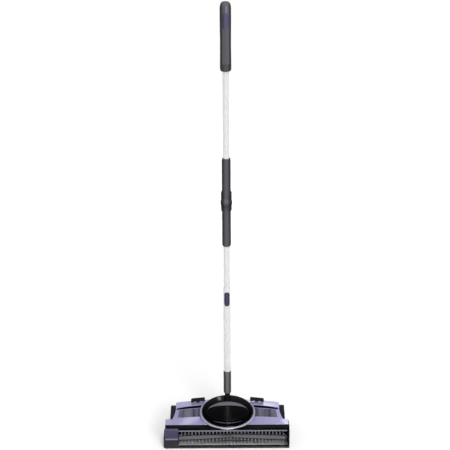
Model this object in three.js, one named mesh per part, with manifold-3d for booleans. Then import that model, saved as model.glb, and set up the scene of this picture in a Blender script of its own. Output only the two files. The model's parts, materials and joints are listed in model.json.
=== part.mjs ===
// A cordless carpet sweeper: a wide head with a belt-driven brush behind a clear front window, a dust bay
// with a door underneath, two foot pedals, and a tube handle in two parts that tilts at the head and folds
// at its middle. Millimetres, +Z up, the front of the head towards -Y. The origin is on the floor, under the
// middle of the head. "Setback" is a distance behind the head's front edge.
import * as THREE from "three";
import { mergeVertices } from "three/addons/utils/BufferGeometryUtils.js";
import Module from "manifold-3d";

const wasm = await Module();
wasm.setup();

// General sizes
const WALL = 2.5; // moulded walls of the head
const FIT = 0.4; // gap between pieces that seat on each other
const SLIP = 0.3; // radial gap round pins, shafts and tubes
const OVERRUN = 6; // how far a cutting solid runs past what it cuts
const MERGE_TOLERANCE = 1e-3;
const FACETS = 20; // large round pieces
const SMALL_FACETS = 12; // pins, bores and rods
const DOME_FACETS = 32;

// Brush
const BRUSH_SETBACK = 25;
const TUFT_REACH = 20; // brush axis to tuft tips
const TUFT_FLOOR_GAP = 0.5;
const BRUSH_Z = TUFT_FLOOR_GAP + TUFT_REACH;
const CORE_R = 9;
const SHAFT_R = 3.5;
const BUSH_R = 6.5;
const TUFT_ROWS = 4;
const TUFTS_PER_ROW = 27;
const STRANDS_PER_TUFT = 3;
const STRAND_R = 1.1;
const STRAND_PITCH = 1.5; // between the strands of a tuft, at their roots
const STRAND_SPLAY = 0.06; // radians between neighbouring strands
const TUFT_END_MARGIN = 6;
const BACKING_THICKNESS = 1.3;
const BACKING_HALF_ANGLE = 0.18;
const BACKING_STATIONS = 11;
const ROW_SWEEP = 0.96; // radians that a row falls from the brush's middle to its ends
const FIRST_ROW_ANGLE = -0.35; // from straight up towards the front, at the brush's middle

// Head outline and levels
const HEAD_WIDTH = 340;
const DRIVE_OVERHANG = 3; // how far the middle of the front lies to the left of the tail's middle
const TAIL_INSET = 28; // ends of the front beyond the chassis behind the brush bay, on average
const TAIL_WIDTH = HEAD_WIDTH - 2 * TAIL_INSET;
const UNDERSIDE = 2;
const FRONT_CORNER = 5;
const TAIL_CORNER = 10;
const TIP_CLEARANCE = 2; // tuft tips to the bay's end wall
const THROAT = 12; // space behind the tuft tips, where the dust is thrown back
const BAY_DEPTH = BRUSH_SETBACK + TUFT_REACH + THROAT;
const SHOULDER = BAY_DEPTH + WALL;
const END_WALL = 6; // right end of the brush bay
const BAY_INSET = 9; // left end of the brush bay inside the tail's side, clear of the belt
const DRIVE_INNER_WALL = 4;
const TRAY_HEIGHT = 27.5; // belt tray, under its cover
const SILL_DEPTH = 6;
const SILL_HEIGHT = 4;
const LEFT_END = -HEAD_WIDTH / 2 - DRIVE_OVERHANG;
const RIGHT_END = HEAD_WIDTH / 2 - DRIVE_OVERHANG;
const COVER_INSET = 4; // covers of the left end inside the belt tray's outer face
const DECK_INSET = 2;
const BAY_LEFT = BAY_INSET - TAIL_WIDTH / 2;
const BAY_RIGHT = RIGHT_END - END_WALL;
const FLOOR_TOP = UNDERSIDE + WALL;
const SILL_TOP = UNDERSIDE + SILL_HEIGHT;

// Top surface of the head along its middle, from the front face back
const BRUSH_HEADROOM = 16.5;
const FACE_TOP_Z = BRUSH_Z + TUFT_REACH + BRUSH_HEADROOM;
const FACE_ROUND_DEPTH = 6;
const FACE_ROUND_HEIGHT = 11;
const FACE_ROUND_Z = FACE_TOP_Z - FACE_ROUND_HEIGHT;
const LIP_THICKNESS = 3;
const LIP_BACK = 24;
const LIP_RISE = 2;
const PANEL_DEPTH = 42;
const PANEL_RISE = 5.5;
const WINDOW_DEPTH = 42;
const WINDOW_RISE = 7.5;
const GROOVE_DEPTH = 7; // the dark groove behind the dust windows
const GROOVE_FALL = 1.5;
const CREST_STEP = 1;
const CREST_RISE = 6.5;
const CREST_DEPTH = 34;
const CREST_FALL = 1;
const STEP_DEPTH = 8;
const STEP_FALL = 15;
const TAIL_SLOPE_DEPTH = 34.5;
const TAIL_SLOPE_FALL = 16.5;
const CROWN = 12; // how far the deck's crest falls at the side covers
const DECK_CORNER = 8; // rear corners of the deck, seen from above
const FLARE = 9; // how far the deck widens towards the brush housing
const FLARE_BACK = 100;
const FLARE_ROUND = 20;
const PANEL_BACK = LIP_BACK + PANEL_DEPTH;
const WINDOW_BACK = PANEL_BACK + WINDOW_DEPTH;
const GROOVE_BACK = WINDOW_BACK + GROOVE_DEPTH;
const CREST = GROOVE_BACK + CREST_STEP;
const DECK_BACK = CREST + CREST_DEPTH;
const TAIL_STEP = DECK_BACK + STEP_DEPTH;
const TAIL_EDGE = TAIL_STEP + TAIL_SLOPE_DEPTH;
const HEAD_DEPTH = TAIL_EDGE + 3 * WALL;
const LIP_BACK_Z = FACE_TOP_Z + LIP_RISE;
const PANEL_BACK_Z = LIP_BACK_Z + PANEL_RISE;
const WINDOW_BACK_Z = PANEL_BACK_Z + WINDOW_RISE;
const GROOVE_Z = WINDOW_BACK_Z - GROOVE_FALL;
const CREST_Z = GROOVE_Z + CREST_RISE;
const DECK_BACK_Z = CREST_Z - CREST_FALL;
const TAIL_STEP_Z = DECK_BACK_Z - STEP_FALL;
const TAIL_SLOPE_Z = TAIL_STEP_Z - TAIL_SLOPE_FALL;
const FRONT_PARTING = FACE_TOP_Z - LIP_THICKNESS - FIT;

// Wheels
const REAR_WHEEL_R = 17;
const REAR_WHEEL_WIDTH = 14;
const TYRE_THICKNESS = 4;
const REAR_AXLE_R = 2.5;
const WELL_GAP = 2;
const REAR_WHEEL_SETBACK = HEAD_DEPTH - REAR_WHEEL_R - WELL_GAP - 3 * WALL - SLIP - SLIP;
const TAIL_PARTING = 2 * REAR_WHEEL_R + WELL_GAP + WALL;
const ROLLER_R = 5.5;
const ROLLER_WIDTH = 8;
const ROLLER_SETBACK = 90;
const ROLLER_PIN_R = 1.8;
const ROLLER_GAP = 1.2;

// Side covers
const SIDE_WIDTH = 14;
const SIDE_TOP_Z = 63;
const SIDE_INSET = 30; // side covers' rear end before the rear edge
const SIDE_BACK = HEAD_DEPTH - SIDE_INSET;
const SIDE_BOTTOM = 9;
const SIDE_TOP_ROUND = 7;
const SIDE_BACK_ROUND = 45;

// Dust bay, its door and the latch
const RAMP_THICKNESS = 6;
const RAMP_HEIGHT = 11;
const DUST_FRONT = BAY_DEPTH + RAMP_THICKNESS;
const DOOR_GAP = 1;
const DOOR_HINGE_R = 2.6;
const DOOR_PIN_R = 1.3;
const DOOR_PIN_LENGTH = 1.6;
const LATCH_WIDTH = 10;
const LATCH_THICKNESS = 4;
const LATCH_LIFT = 3; // latch bar over the chassis floor
const WIPER_THICKNESS = 2.2;
const WIPER_DROP = 1.3; // wiper below the underside
const WIPER_SEAT = 3; // wiper let into the underside
const WIPER_INSET = 9;

// Belt drive and motor
const MOTOR_R = 13.5;
const MOTOR_LENGTH = 46;
const MOTOR_SHAFT_R = 1.6;
const MOTOR_NOSE_R = 5;
const MOTOR_NOSE_LENGTH = 3;
const MOTOR_GAP = 0.5; // motor to the wheel well behind it
const CRADLE = 7;
const CRADLE_RIB = 2;
const BRUSH_PULLEY_R = 8.5;
const MOTOR_PULLEY_R = 5;
const PULLEY_WIDTH = 8;
const PULLEY_FLANGE = 1;
const PULLEY_FLANGE_HEIGHT = 2;
const BELT_THICKNESS = 1.6;
const BELT_X = -(TAIL_WIDTH / 2 + (SIDE_WIDTH - WALL) / 2);
const MOTOR_SETBACK = REAR_WHEEL_SETBACK - REAR_WHEEL_R - WELL_GAP - WALL - MOTOR_GAP - MOTOR_R;
const REAR_BAY_FRONT = MOTOR_SETBACK - MOTOR_R - FIT;
const DUST_BACK = REAR_BAY_FRONT - WALL;
const MOTOR_Z = FLOOR_TOP + CRADLE + MOTOR_R;

// Pedals, switch, battery and charging socket
const PEDAL_INSET = 61; // pedal's middle inside the tail's side
const PEDAL_STEP = 21; // pedal's middle behind the crest
const PEDAL_X = TAIL_WIDTH / 2 - PEDAL_INSET;
const PEDAL_SETBACK = CREST + PEDAL_STEP;
const PEDAL_WIDTH = 38;
const PEDAL_DEPTH = 20;
const PEDAL_FRONT_THICKNESS = 2.5;
const PEDAL_BACK_THICKNESS = 5;
const PEDAL_RISE = 4; // pedal's underside over the deck
const PEDAL_TILT = 0.1; // radians that a pedal leans outwards
const PEDAL_TRAVEL = 3;
const STEM_R = 3.2;
const STEM_COLLAR_R = 6;
const STEM_COLLAR = 2;
const STEM_DROP = 26; // stem below the deck's skin
const SPRING_R = 4.9;
const SPRING_WIRE_R = 0.4;
const SPRING_TURNS = 3;
const SPRING_SEAT = 1.4; // disc under the pedal that the spring bears on
const SPRING_WELL = 6; // well in the deck that the spring stands in
const SPRING_WELL_FLOOR = 2;
const SWITCH_WIDTH = 12;
const SWITCH_HEIGHT = 12;
const SWITCH_PLUNGER_R = 2;
const BATTERY_SIDE = 31;
const BATTERY_LENGTH = 50;
const BATTERY_CORNER = 8;
const SOCKET_X = 60;
const SOCKET_Z = 22;
const SOCKET_R = 5;
const SOCKET_BORE_R = 2.6;
const SOCKET_PIN_R = 0.9;
const SOCKET_LENGTH = 14;
const SCREW_INSET = 17; // screws inside the rear edge
const SCREW_SIDE = 44; // outer screws inside the tail's sides
const SCREW_INNER_X = 30;
const SCREW_SETBACK = HEAD_DEPTH - SCREW_INSET;
const SCREW_OUTER_X = TAIL_WIDTH / 2 - SCREW_SIDE;
const SCREW_XS = [-SCREW_OUTER_X, -SCREW_INNER_X, SCREW_INNER_X, SCREW_OUTER_X];
const SCREW_R = 1.4;
const SCREW_HEAD_R = 3.2;
const SCREW_HEAD = 1.8;
const SCREW_LENGTH = 18;
const BOSS_R = 4.2;

// Dome over the middle of the deck, its badge plate and its trim
const DOME_R = 70.5;
const DOME_TILT = 0.227;
const DOME_RISE = 7;
const DOME_EDGE = 3;
const DOME_SETBACK = 74.5;
const DOME_FRONT_RISE = 4; // front edge over the front lip
const DOME_SKIRT = 40;
const DOME_ACCESS_R = 44;
const PLATE_HALF_WIDTH = 57;
const PLATE_HALF_DEPTH = 40;
const PLATE_FORWARD = 9;
const PLATE_RAISE = 1.8;
const TRIM_WIDTH = 5.2;
const TRIM_HEIGHT = 5;
const TRIM_DROP = 1.5;
const TRIM_BACK = 100;

// Dust windows in the deck
const DUST_WINDOW_CLEAR = 1.5; // beside the dome
const DUST_WINDOW_FRAME = 10; // between the window and the tail's side
const DUST_WINDOW_INNER = DOME_R + DUST_WINDOW_CLEAR;
const DUST_WINDOW_OUTER = TAIL_WIDTH / 2 - DUST_WINDOW_FRAME;
const DUST_WINDOW_SLANT = 4;
const DUST_WINDOW_SUNK = 1.2;
const DUST_WINDOW_FLANGE = 3;
const DUST_WINDOW_FLANGE_THICKNESS = 1.6;

// Handle, in heights over the neck's pivot
const NECK_STEP = 4; // behind the deck's rear step
const NECK_SETBACK = TAIL_STEP + NECK_STEP;
const NECK_Z = 40;
const NECK_PIN_R = 4;
const NECK_BARREL_R = 9;
const NECK_BARREL_HALF = 16;
const EAR_THICKNESS = 5;
const EAR_R = 8.5;
const NECK_SLOT_HALF = 13;
const NECK_SLOT_GAP = 1.5;
const NECK_STEM_R = 7;
const NECK_STEM = 50;
const SPIGOT_R = 7.4;
const SPIGOT_LENGTH = 18;
const NECK_SOCKET_R = 10.3;
const NECK_SOCKET_LENGTH = 66;
const LOWER_TUBE_R = 9.5;
const TUBE_WALL = 0.9;
const LOWER_TUBE_TOP = 364;
const MIDDLE_TUBE_R = LOWER_TUBE_R - TUBE_WALL - SLIP;
const MIDDLE_TUBE_LAP = 75; // middle tube inside the lower one
const BUTTON_Z = 332;
const BUTTON_WIDTH = 13.6;
const BUTTON_HEIGHT = 40;
const BUTTON_PROUD = 2;
const BUTTON_DEPTH = 9.5;
const BUTTON_TRAVEL = 2;
const FOLD_Z = 612;
const FOLD_OFFSET = 13; // fold axis in front of the tubes' axis
const KNUCKLE_R = 12;
const TONGUE_HALF = 8.6;
const EAR_OUTER = 13.8;
const FOLD_PIN_R = 3;
const FOLD_PIN_HEAD_R = 5;
const FOLD_PIN_HEAD = 1;
const BULGE_HALF_WIDTH = 14.3;
const BULGE_HALF_DEPTH = 12.2;
const BULGE_HEIGHT = 24;
const BULGE_TAPER = 6;
const SLEEVE_R = 11.8;
const SLEEVE_LIP = 5;
const LOWER_SLEEVE = 128;
const UPPER_SLEEVE = 119;
const SLEEVE_SOLID = 30; // from the fold axis to the bore of each sleeve
const FOLD_BUTTON_WIDTH = 10;
const FOLD_BUTTON_HEIGHT = 12;
const FOLD_BUTTON_DEPTH = 6;
const FOLD_BUTTON_PROUD = 2;
const FOLD_BUTTON_TRAVEL = 2.5;
const FOLD_BUTTON_DROP = 13.5;
const GRIP_R = 14.9;
const GRIP_BOTTOM = 358; // over the fold axis
const GRIP_LENGTH = 184;
const GRIP_CAP_LENGTH = 30;
const GRIP_END = 5;
const GRIP_PLUG = 8;
const PAD_HALF_WIDTH = 9;
const PAD_LENGTH = 38;
const PAD_PROUD = 0.5;
const PAD_SEAT = 0.7; // material between the pad's pocket and the bore

// Colours with their roughness and metalness
const FINISHES = {
  blackPlastic: [0x17181b, 0.35, 0],
  darkPlastic: [0x3d3c42, 0.5, 0],
  lavender: [0xa29ccb, 0.35, 0.2],
  purple: [0x4b4378, 0.35, 0],
  clear: [0xb9bcc6, 0.1, 0],
  smoke: [0x6b6a78, 0.2, 0],
  glossBlack: [0x08080a, 0.08, 0],
  silver: [0xb0aec0, 0.3, 0.6],
  steel: [0xc9c9cc, 0.25, 0.9],
  tube: [0xe3e3e5, 0.28, 0.35],
  grip: [0x5c5b62, 0.6, 0],
  rubber: [0x1c1c1e, 0.85, 0],
  core: [0x8e8f96, 0.45, 0],
  bristle: [0xc6c5d2, 0.7, 0],
  battery: [0x2f6f4a, 0.5, 0],
};

// Where a setback behind the head's front edge lies on Y.
const at = (setback) => setback - HEAD_DEPTH / 2;

// A closed geometry as a solid that can be joined and cut, turned outside out if need be.
function solid(geometry) {
  const loose = geometry.index ? geometry.toNonIndexed() : geometry;
  const bare = new THREE.BufferGeometry().setAttribute("position", loose.getAttribute("position"));
  const merged = mergeVertices(bare, MERGE_TOLERANCE);
  const vertProperties = merged.attributes.position.array;
  const triVerts = new Uint32Array(merged.index.array);
  const made = new wasm.Manifold(new wasm.Mesh({ numProp: 3, vertProperties, triVerts }));
  if (made.volume() >= 0) return made;
  triVerts.reverse();
  return new wasm.Manifold(new wasm.Mesh({ numProp: 3, vertProperties, triVerts }));
}

// The triangles of a solid as a geometry.
function geometryOf(made) {
  const mesh = made.getMesh();
  const positions = new Float32Array(mesh.numVert * 3);
  for (let i = 0; i < mesh.numVert; i++) {
    positions.set(mesh.vertProperties.subarray(i * mesh.numProp, i * mesh.numProp + 3), i * 3);
  }
  return new THREE.BufferGeometry()
    .setAttribute("position", new THREE.BufferAttribute(positions, 3))
    .setIndex(new THREE.BufferAttribute(mesh.triVerts, 1));
}

// Several solids as one.
const joined = (first, ...rest) => rest.reduce((sum, piece) => sum.add(piece), first);

// The first solid less the others.
const cut = (first, ...rest) => rest.reduce((left, piece) => left.subtract(piece), first);

// A box between two corners.
function box(x0, x1, y0, y1, z0, z1) {
  const shape = new THREE.BoxGeometry(x1 - x0, y1 - y0, z1 - z0);
  return solid(shape.translate((x0 + x1) / 2, (y0 + y1) / 2, (z0 + z1) / 2));
}

// A geometry made along Z, turned so that it lies along X, Y or Z.
function along(axis, geometry) {
  if (axis === "x") return geometry.applyMatrix4(ALONG_X);
  if (axis === "y") return geometry.applyMatrix4(ALONG_Y);
  return geometry;
}
const UNIT_X = new THREE.Vector3(1, 0, 0);
const UNIT_Y = new THREE.Vector3(0, 1, 0);
const UNIT_Z = new THREE.Vector3(0, 0, 1);
const ALONG_X = new THREE.Matrix4().makeBasis(UNIT_Y, UNIT_Z, UNIT_X);
const ALONG_Y = new THREE.Matrix4().makeBasis(UNIT_Z, UNIT_X, UNIT_Y);

// A round bar of a length along an axis, from a starting point.
function bar(axis, radius, length, [x, y, z], facets = SMALL_FACETS) {
  const shape = new THREE.CylinderGeometry(radius, radius, length, facets);
  shape.rotateX(Math.PI / 2).translate(0, 0, length / 2);
  return solid(along(axis, shape).translate(x, y, z));
}

// A turned body along an axis from [radius, along] points that close round or on the axis.
function turned(axis, profile, [x, y, z], facets = FACETS) {
  const closed = profile[0][0] === 0 ? profile : [...profile, profile[0]];
  const points = closed.map(([radius, height]) => new THREE.Vector2(radius, height));
  const shape = new THREE.LatheGeometry(points, facets).rotateX(Math.PI / 2);
  return solid(along(axis, shape).translate(x, y, z));
}

// An outline of [u, v, corner radius] points, with its corners rounded.
function outline(corners) {
  const shape = new THREE.Shape();
  corners.forEach(([u, v, radius = 0], i) => {
    const corner = new THREE.Vector2(u, v);
    const [before, after] = [corners.at(i - 1), corners[(i + 1) % corners.length]].map(
      (next) => new THREE.Vector2(next[0], next[1]).sub(corner).setLength(radius).add(corner),
    );
    if (i === 0) shape.moveTo(before.x, before.y);
    else shape.lineTo(before.x, before.y);
    if (radius > 0) shape.quadraticCurveTo(u, v, after.x, after.y);
  });
  return shape;
}

// An outline pushed along an axis from one place to another. Its u and v lie on YZ, ZX or XY for X, Y or Z.
function pushed(axis, shape, from, to, curveSegments = 5) {
  const made = new THREE.ExtrudeGeometry(shape, { depth: to - from, bevelEnabled: false, curveSegments });
  return solid(along(axis, made.translate(0, 0, from)));
}

// A body through rings of [x, y, z] points, all with as many points, closed at both ends.
function lofted(rings, flatten) {
  const count = rings[0].length;
  const positions = rings.flat(2);
  const index = [];
  for (let r = 0; r + 1 < rings.length; r++) {
    for (let i = 0; i < count; i++) {
      const a = r * count + i;
      const b = r * count + ((i + 1) % count);
      index.push(a, b, b + count, a, b + count, a + count);
    }
  }
  const flat = rings[0].map(flatten);
  const cap = THREE.ShapeUtils.triangulateShape(flat, []);
  if (THREE.ShapeUtils.area(flat) < 0) cap.forEach((triangle) => triangle.reverse());
  const last = (rings.length - 1) * count;
  for (const [a, b, c] of cap) {
    index.push(c, b, a, last + a, last + b, last + c);
  }
  const shape = new THREE.BufferGeometry();
  shape.setAttribute("position", new THREE.Float32BufferAttribute(positions, 3)).setIndex(index);
  return solid(shape);
}

// An upright body through ellipses of [height, half width, half depth] round one axis.
function tower(rings, [x, y, z], facets = FACETS) {
  return lofted(
    rings.map(([height, halfWidth, halfDepth = halfWidth]) =>
      Array.from({ length: facets }, (_, i) => {
        const turn = (2 * Math.PI * i) / facets;
        return [x + halfWidth * Math.cos(turn), y + halfDepth * Math.sin(turn), z + height];
      }),
    ),
    ([u, v]) => new THREE.Vector2(u, v),
  );
}

// A tube along Z.
function tube(radius, bore, length, [x, y, z]) {
  return turned("z", [[radius, 0], [radius, length], [bore, length], [bore, 0]], [x, y, z]);
}

// Points on the rounded top of the front face, inset from its outer surface.
function faceRound(inset) {
  const steps = 4;
  return Array.from({ length: steps + 1 }, (_, i) => {
    const turn = (Math.PI / 2) * (i / steps);
    const depth = inset + (FACE_ROUND_DEPTH - inset) * (1 - Math.cos(turn));
    return [depth, FACE_ROUND_Z + (FACE_ROUND_HEIGHT - inset) * Math.sin(turn)];
  });
}

// The head's top surface along its middle as [setback, height] points.
const HEAD_PROFILE = [
  ...faceRound(0),
  [LIP_BACK, LIP_BACK_Z],
  [PANEL_BACK, PANEL_BACK_Z],
  [WINDOW_BACK, WINDOW_BACK_Z],
  [GROOVE_BACK, GROOVE_Z],
  [CREST, CREST_Z],
  [DECK_BACK, DECK_BACK_Z],
  [TAIL_STEP, TAIL_STEP_Z],
  [TAIL_EDGE, TAIL_SLOPE_Z],
  [HEAD_DEPTH, TAIL_PARTING],
];

// How far the top surface lies under its middle at a place across the head.
function crownFall(x, setback) {
  const rise = THREE.MathUtils.clamp((setback - LIP_BACK) / (CREST - LIP_BACK), 0, 1);
  const fade = THREE.MathUtils.clamp((TAIL_EDGE - setback) / (TAIL_EDGE - DECK_BACK), 0, 1);
  const reach = TAIL_WIDTH / 2 + SIDE_WIDTH;
  return CROWN * rise * fade * (x / reach) ** 2;
}

// The height of the top surface at a place across the head.
function topAt(x, setback) {
  const next = HEAD_PROFILE.findIndex(([s]) => s > setback);
  const [[s0, z0], [s1, z1]] = [HEAD_PROFILE[next - 1], HEAD_PROFILE[next]];
  return THREE.MathUtils.mapLinear(setback, s0, s1, z0, z1) - crownFall(x, setback);
}

// Everything under the head's top surface down to a level, with the surface lowered or raised.
function underTop(level, lowered = 0) {
  const stations = 14;
  const reach = -LEFT_END + OVERRUN;
  const back = HEAD_DEPTH + OVERRUN;
  const rings = Array.from({ length: stations + 1 }, (_, i) => {
    const x = reach * ((2 * i) / stations - 1);
    const top = HEAD_PROFILE.map(([s, z]) => [x, at(s), z - crownFall(x, s) - lowered]);
    return [[x, at(0), level], ...top, [x, at(back), TAIL_PARTING - lowered], [x, at(back), level]];
  });
  return lofted(rings, ([, v, w]) => new THREE.Vector2(v, w));
}

// The head's outline seen from above between two setbacks, drawn in by an inset.
function headPlan(inset, z0, z1) {
  const [left, right] = [LEFT_END + inset, RIGHT_END - inset];
  const tail = TAIL_WIDTH / 2 - inset;
  const bay = pushed(
    "z",
    outline([
      [left, at(inset), FRONT_CORNER],
      [right, at(inset), FRONT_CORNER],
      [right, at(SHOULDER - inset)],
      [left, at(SHOULDER - inset)],
    ]),
    z0,
    z1,
  );
  const rest = pushed(
    "z",
    outline([
      [-tail, at(BAY_DEPTH - OVERRUN)],
      [tail, at(BAY_DEPTH - OVERRUN)],
      [tail, at(HEAD_DEPTH - inset), TAIL_CORNER],
      [-tail, at(HEAD_DEPTH - inset), TAIL_CORNER],
    ]),
    z0,
    z1,
  );
  return bay.add(rest);
}

const EAR_INNER = NECK_BARREL_HALF + SLIP + FIT;
const EAR_END = EAR_INNER + EAR_THICKNESS;
const WELL_OUTER = TAIL_WIDTH / 2 - WALL;
const WELL_INNER = WELL_OUTER - REAR_WHEEL_WIDTH - 2 * WELL_GAP;
const WHEEL_X = (WELL_OUTER + WELL_INNER) / 2;
const LUG_INNER = TAIL_WIDTH / 2;
const LUG_OUTER = LUG_INNER + SIDE_WIDTH - FIT;
const ROLLER_X = (LUG_INNER + LUG_OUTER) / 2;
const LUG_HALF_DEPTH = ROLLER_R + ROLLER_GAP + WALL;
const LUG_ROOF = 2 * ROLLER_R + ROLLER_GAP;
const LUG_TOP = LUG_ROOF + WALL / 2;
const LUG_BOTTOM = ROLLER_R - ROLLER_PIN_R - WALL / 2;
const BELT_HALF = PULLEY_WIDTH / 2 - PULLEY_FLANGE - SLIP;
const BELT_BOTTOM = BRUSH_Z - BRUSH_PULLEY_R - SLIP - BELT_THICKNESS;
const BELT_TOP = BRUSH_Z + BRUSH_PULLEY_R + SLIP + BELT_THICKNESS;
const PASSAGE_BOTTOM = BELT_BOTTOM - FIT;
const PASSAGE_TOP = BELT_TOP + WALL + FIT;
const DRIVE_SPLIT = UNDERSIDE + TRAY_HEIGHT;
const PEDAL_SKIN = topAt(PEDAL_X, PEDAL_SETBACK);
const STEM_BOTTOM = PEDAL_SKIN - STEM_DROP;
const WELL_R = SPRING_R + SPRING_WIRE_R + 2 * FIT;
const BATTERY_LEFT = EAR_END + WALL + FIT;
const SWITCH_TOP = STEM_BOTTOM - PEDAL_TRAVEL - FIT;
const SWITCH_BASE = SWITCH_TOP - SWITCH_HEIGHT - PEDAL_TRAVEL;

// Both walls and the roof that a rear wheel runs in, and the space inside them.
function wheelWell(side) {
  const half = REAR_WHEEL_R + WELL_GAP;
  const [x0, x1] = side < 0 ? [-WELL_OUTER, -WELL_INNER] : [WELL_INNER, WELL_OUTER];
  const y = at(REAR_WHEEL_SETBACK);
  return {
    shell: box(x0 - WALL, x1 + WALL, y - half - WALL, y + half + WALL, UNDERSIDE, TAIL_PARTING),
    space: box(x0, x1, y - half, y + half, UNDERSIDE - OVERRUN, TAIL_PARTING - WALL),
  };
}

// The lug beside the chassis that a front roller turns in, less the roller's own space.
function rollerLug(side) {
  const y = at(ROLLER_SETBACK);
  const inner = side * (LUG_INNER - WALL / 2);
  const outer = side * LUG_OUTER;
  const [x0, x1] = [Math.min(inner, outer), Math.max(inner, outer)];
  const pocketHalf = ROLLER_WIDTH / 2 + SLIP;
  const pocketDepth = ROLLER_R + ROLLER_GAP;
  const pinHalf = pocketHalf + WALL / 2 + SLIP;
  const x = side * ROLLER_X;
  return {
    lug: box(x0, x1, y - LUG_HALF_DEPTH, y + LUG_HALF_DEPTH, LUG_BOTTOM, LUG_TOP),
    pocket: box(x - pocketHalf, x + pocketHalf, y - pocketDepth, y + pocketDepth, -OVERRUN, LUG_ROOF),
    bore: bar("x", ROLLER_PIN_R + SLIP, 2 * pinHalf, [x - pinHalf, y, ROLLER_R]),
  };
}

// The moulded base: brush bay, belt tray, dust bay, rear bay, wheel wells and the neck's ears.
function chassis() {
  const high = FACE_TOP_Z + OVERRUN;
  const low = -OVERRUN;
  const plan = headPlan(0, UNDERSIDE, FRONT_PARTING);
  let body = plan.intersect(underTop(low));
  body = cut(
    body,
    box(LEFT_END, -LEFT_END, at(SHOULDER), at(HEAD_DEPTH) + OVERRUN, TAIL_PARTING, high),
    box(BAY_LEFT, BAY_RIGHT, at(SILL_DEPTH), at(BAY_DEPTH), low, high),
    box(BAY_LEFT, BAY_RIGHT, at(-OVERRUN), at(SILL_DEPTH) + FIT, SILL_TOP, high),
    box(BAY_LEFT, WELL_OUTER - WALL, at(BAY_DEPTH - OVERRUN), at(DUST_FRONT), UNDERSIDE + RAMP_HEIGHT, high),
    box(-WELL_OUTER, WELL_OUTER, at(DUST_FRONT), at(DUST_BACK), low, high),
    headPlan(WALL, FLOOR_TOP, high).intersect(
      box(-WELL_OUTER, WELL_OUTER, at(REAR_BAY_FRONT), at(HEAD_DEPTH), low, high),
    ),
  );
  // The tray of the belt drive, open above the level where its cover starts
  const trayRight = BAY_LEFT - DRIVE_INNER_WALL;
  body = cut(
    body,
    box(LEFT_END + WALL, trayRight, at(WALL), at(BAY_DEPTH), FLOOR_TOP, high),
    box(LEFT_END - OVERRUN, trayRight, at(-OVERRUN), at(SHOULDER), DRIVE_SPLIT, high),
    box(trayRight - OVERRUN, BAY_LEFT, at(-OVERRUN), at(WALL) + FIT, DRIVE_SPLIT, high),
    box(trayRight - OVERRUN, BAY_LEFT, at(-OVERRUN), at(FACE_ROUND_DEPTH) + FIT, FACE_ROUND_Z, high),
    beltPassage(),
  );
  // Wheel wells, roller lugs, ears, motor cradle, switch post and screw bosses
  const wells = [-1, 1].map(wheelWell);
  const lugs = [-1, 1].map(rollerLug);
  const shells = [...wells.map((well) => well.shell), ...lugs.map((lug) => lug.lug)];
  body = joined(body, ...shells, ...neckEars(), ...fittings());
  body = cut(body, ...wells.map((well) => well.space), ...lugs.flatMap((lug) => [lug.pocket, lug.bore]));
  // Round holes
  const axleLength = 2 * (WELL_OUTER + WALL + OVERRUN);
  return cut(
    body,
    bar("x", REAR_AXLE_R + SLIP, axleLength, [-axleLength / 2, at(REAR_WHEEL_SETBACK), REAR_WHEEL_R]),
    bar("x", NECK_PIN_R + SLIP, 2 * (EAR_END + OVERRUN), [-EAR_END - OVERRUN, at(NECK_SETBACK), NECK_Z]),
    bar("x", BUSH_R + SLIP, DRIVE_INNER_WALL + 2 * FIT, [trayRight - FIT, at(BRUSH_SETBACK), BRUSH_Z]),
    bar("x", BUSH_R + SLIP, END_WALL - WALL / 2, [BAY_RIGHT - FIT, at(BRUSH_SETBACK), BRUSH_Z]),
    bar("x", MOTOR_NOSE_R + SLIP, WALL + 2 * FIT, [-TAIL_WIDTH / 2 - FIT, at(MOTOR_SETBACK), MOTOR_Z]),
    bar("y", SOCKET_R + SLIP, WALL + 2 * FIT, [SOCKET_X, at(HEAD_DEPTH - WALL) - FIT, SOCKET_Z]),
    ...doorPinHoles(),
    latchSlot(),
    wiperBlock(SLIP, OVERRUN),
    ...SCREW_XS.flatMap((x) => [
      bar("z", SCREW_R + SLIP, BOSS_TOP + OVERRUN, [x, at(SCREW_SETBACK), 0]),
      bar("z", SCREW_HEAD_R + SLIP, SCREW_HEAD + SLIP, [x, at(SCREW_SETBACK), UNDERSIDE]),
    ]),
  );
}
const BOSS_TOP = FLOOR_TOP + SCREW_LENGTH / 2;

// The gap that the belt runs through, in the walls between the belt tray and the left side cover.
function beltPassage() {
  const half = PULLEY_WIDTH / 2;
  const back = at(SHOULDER) + FIT + WALL + FIT;
  return box(BELT_X - half, BELT_X + half, at(BAY_DEPTH) - FIT, back, PASSAGE_BOTTOM, PASSAGE_TOP);
}

// The two ears that the neck's pin runs through.
function neckEars() {
  const y = at(NECK_SETBACK);
  return [-EAR_END, EAR_INNER].map((x) =>
    joined(
      box(x, x + EAR_THICKNESS, y - EAR_R, y + EAR_R, UNDERSIDE, NECK_Z),
      bar("x", EAR_R, EAR_THICKNESS, [x, y, NECK_Z], FACETS),
    ),
  );
}

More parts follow.
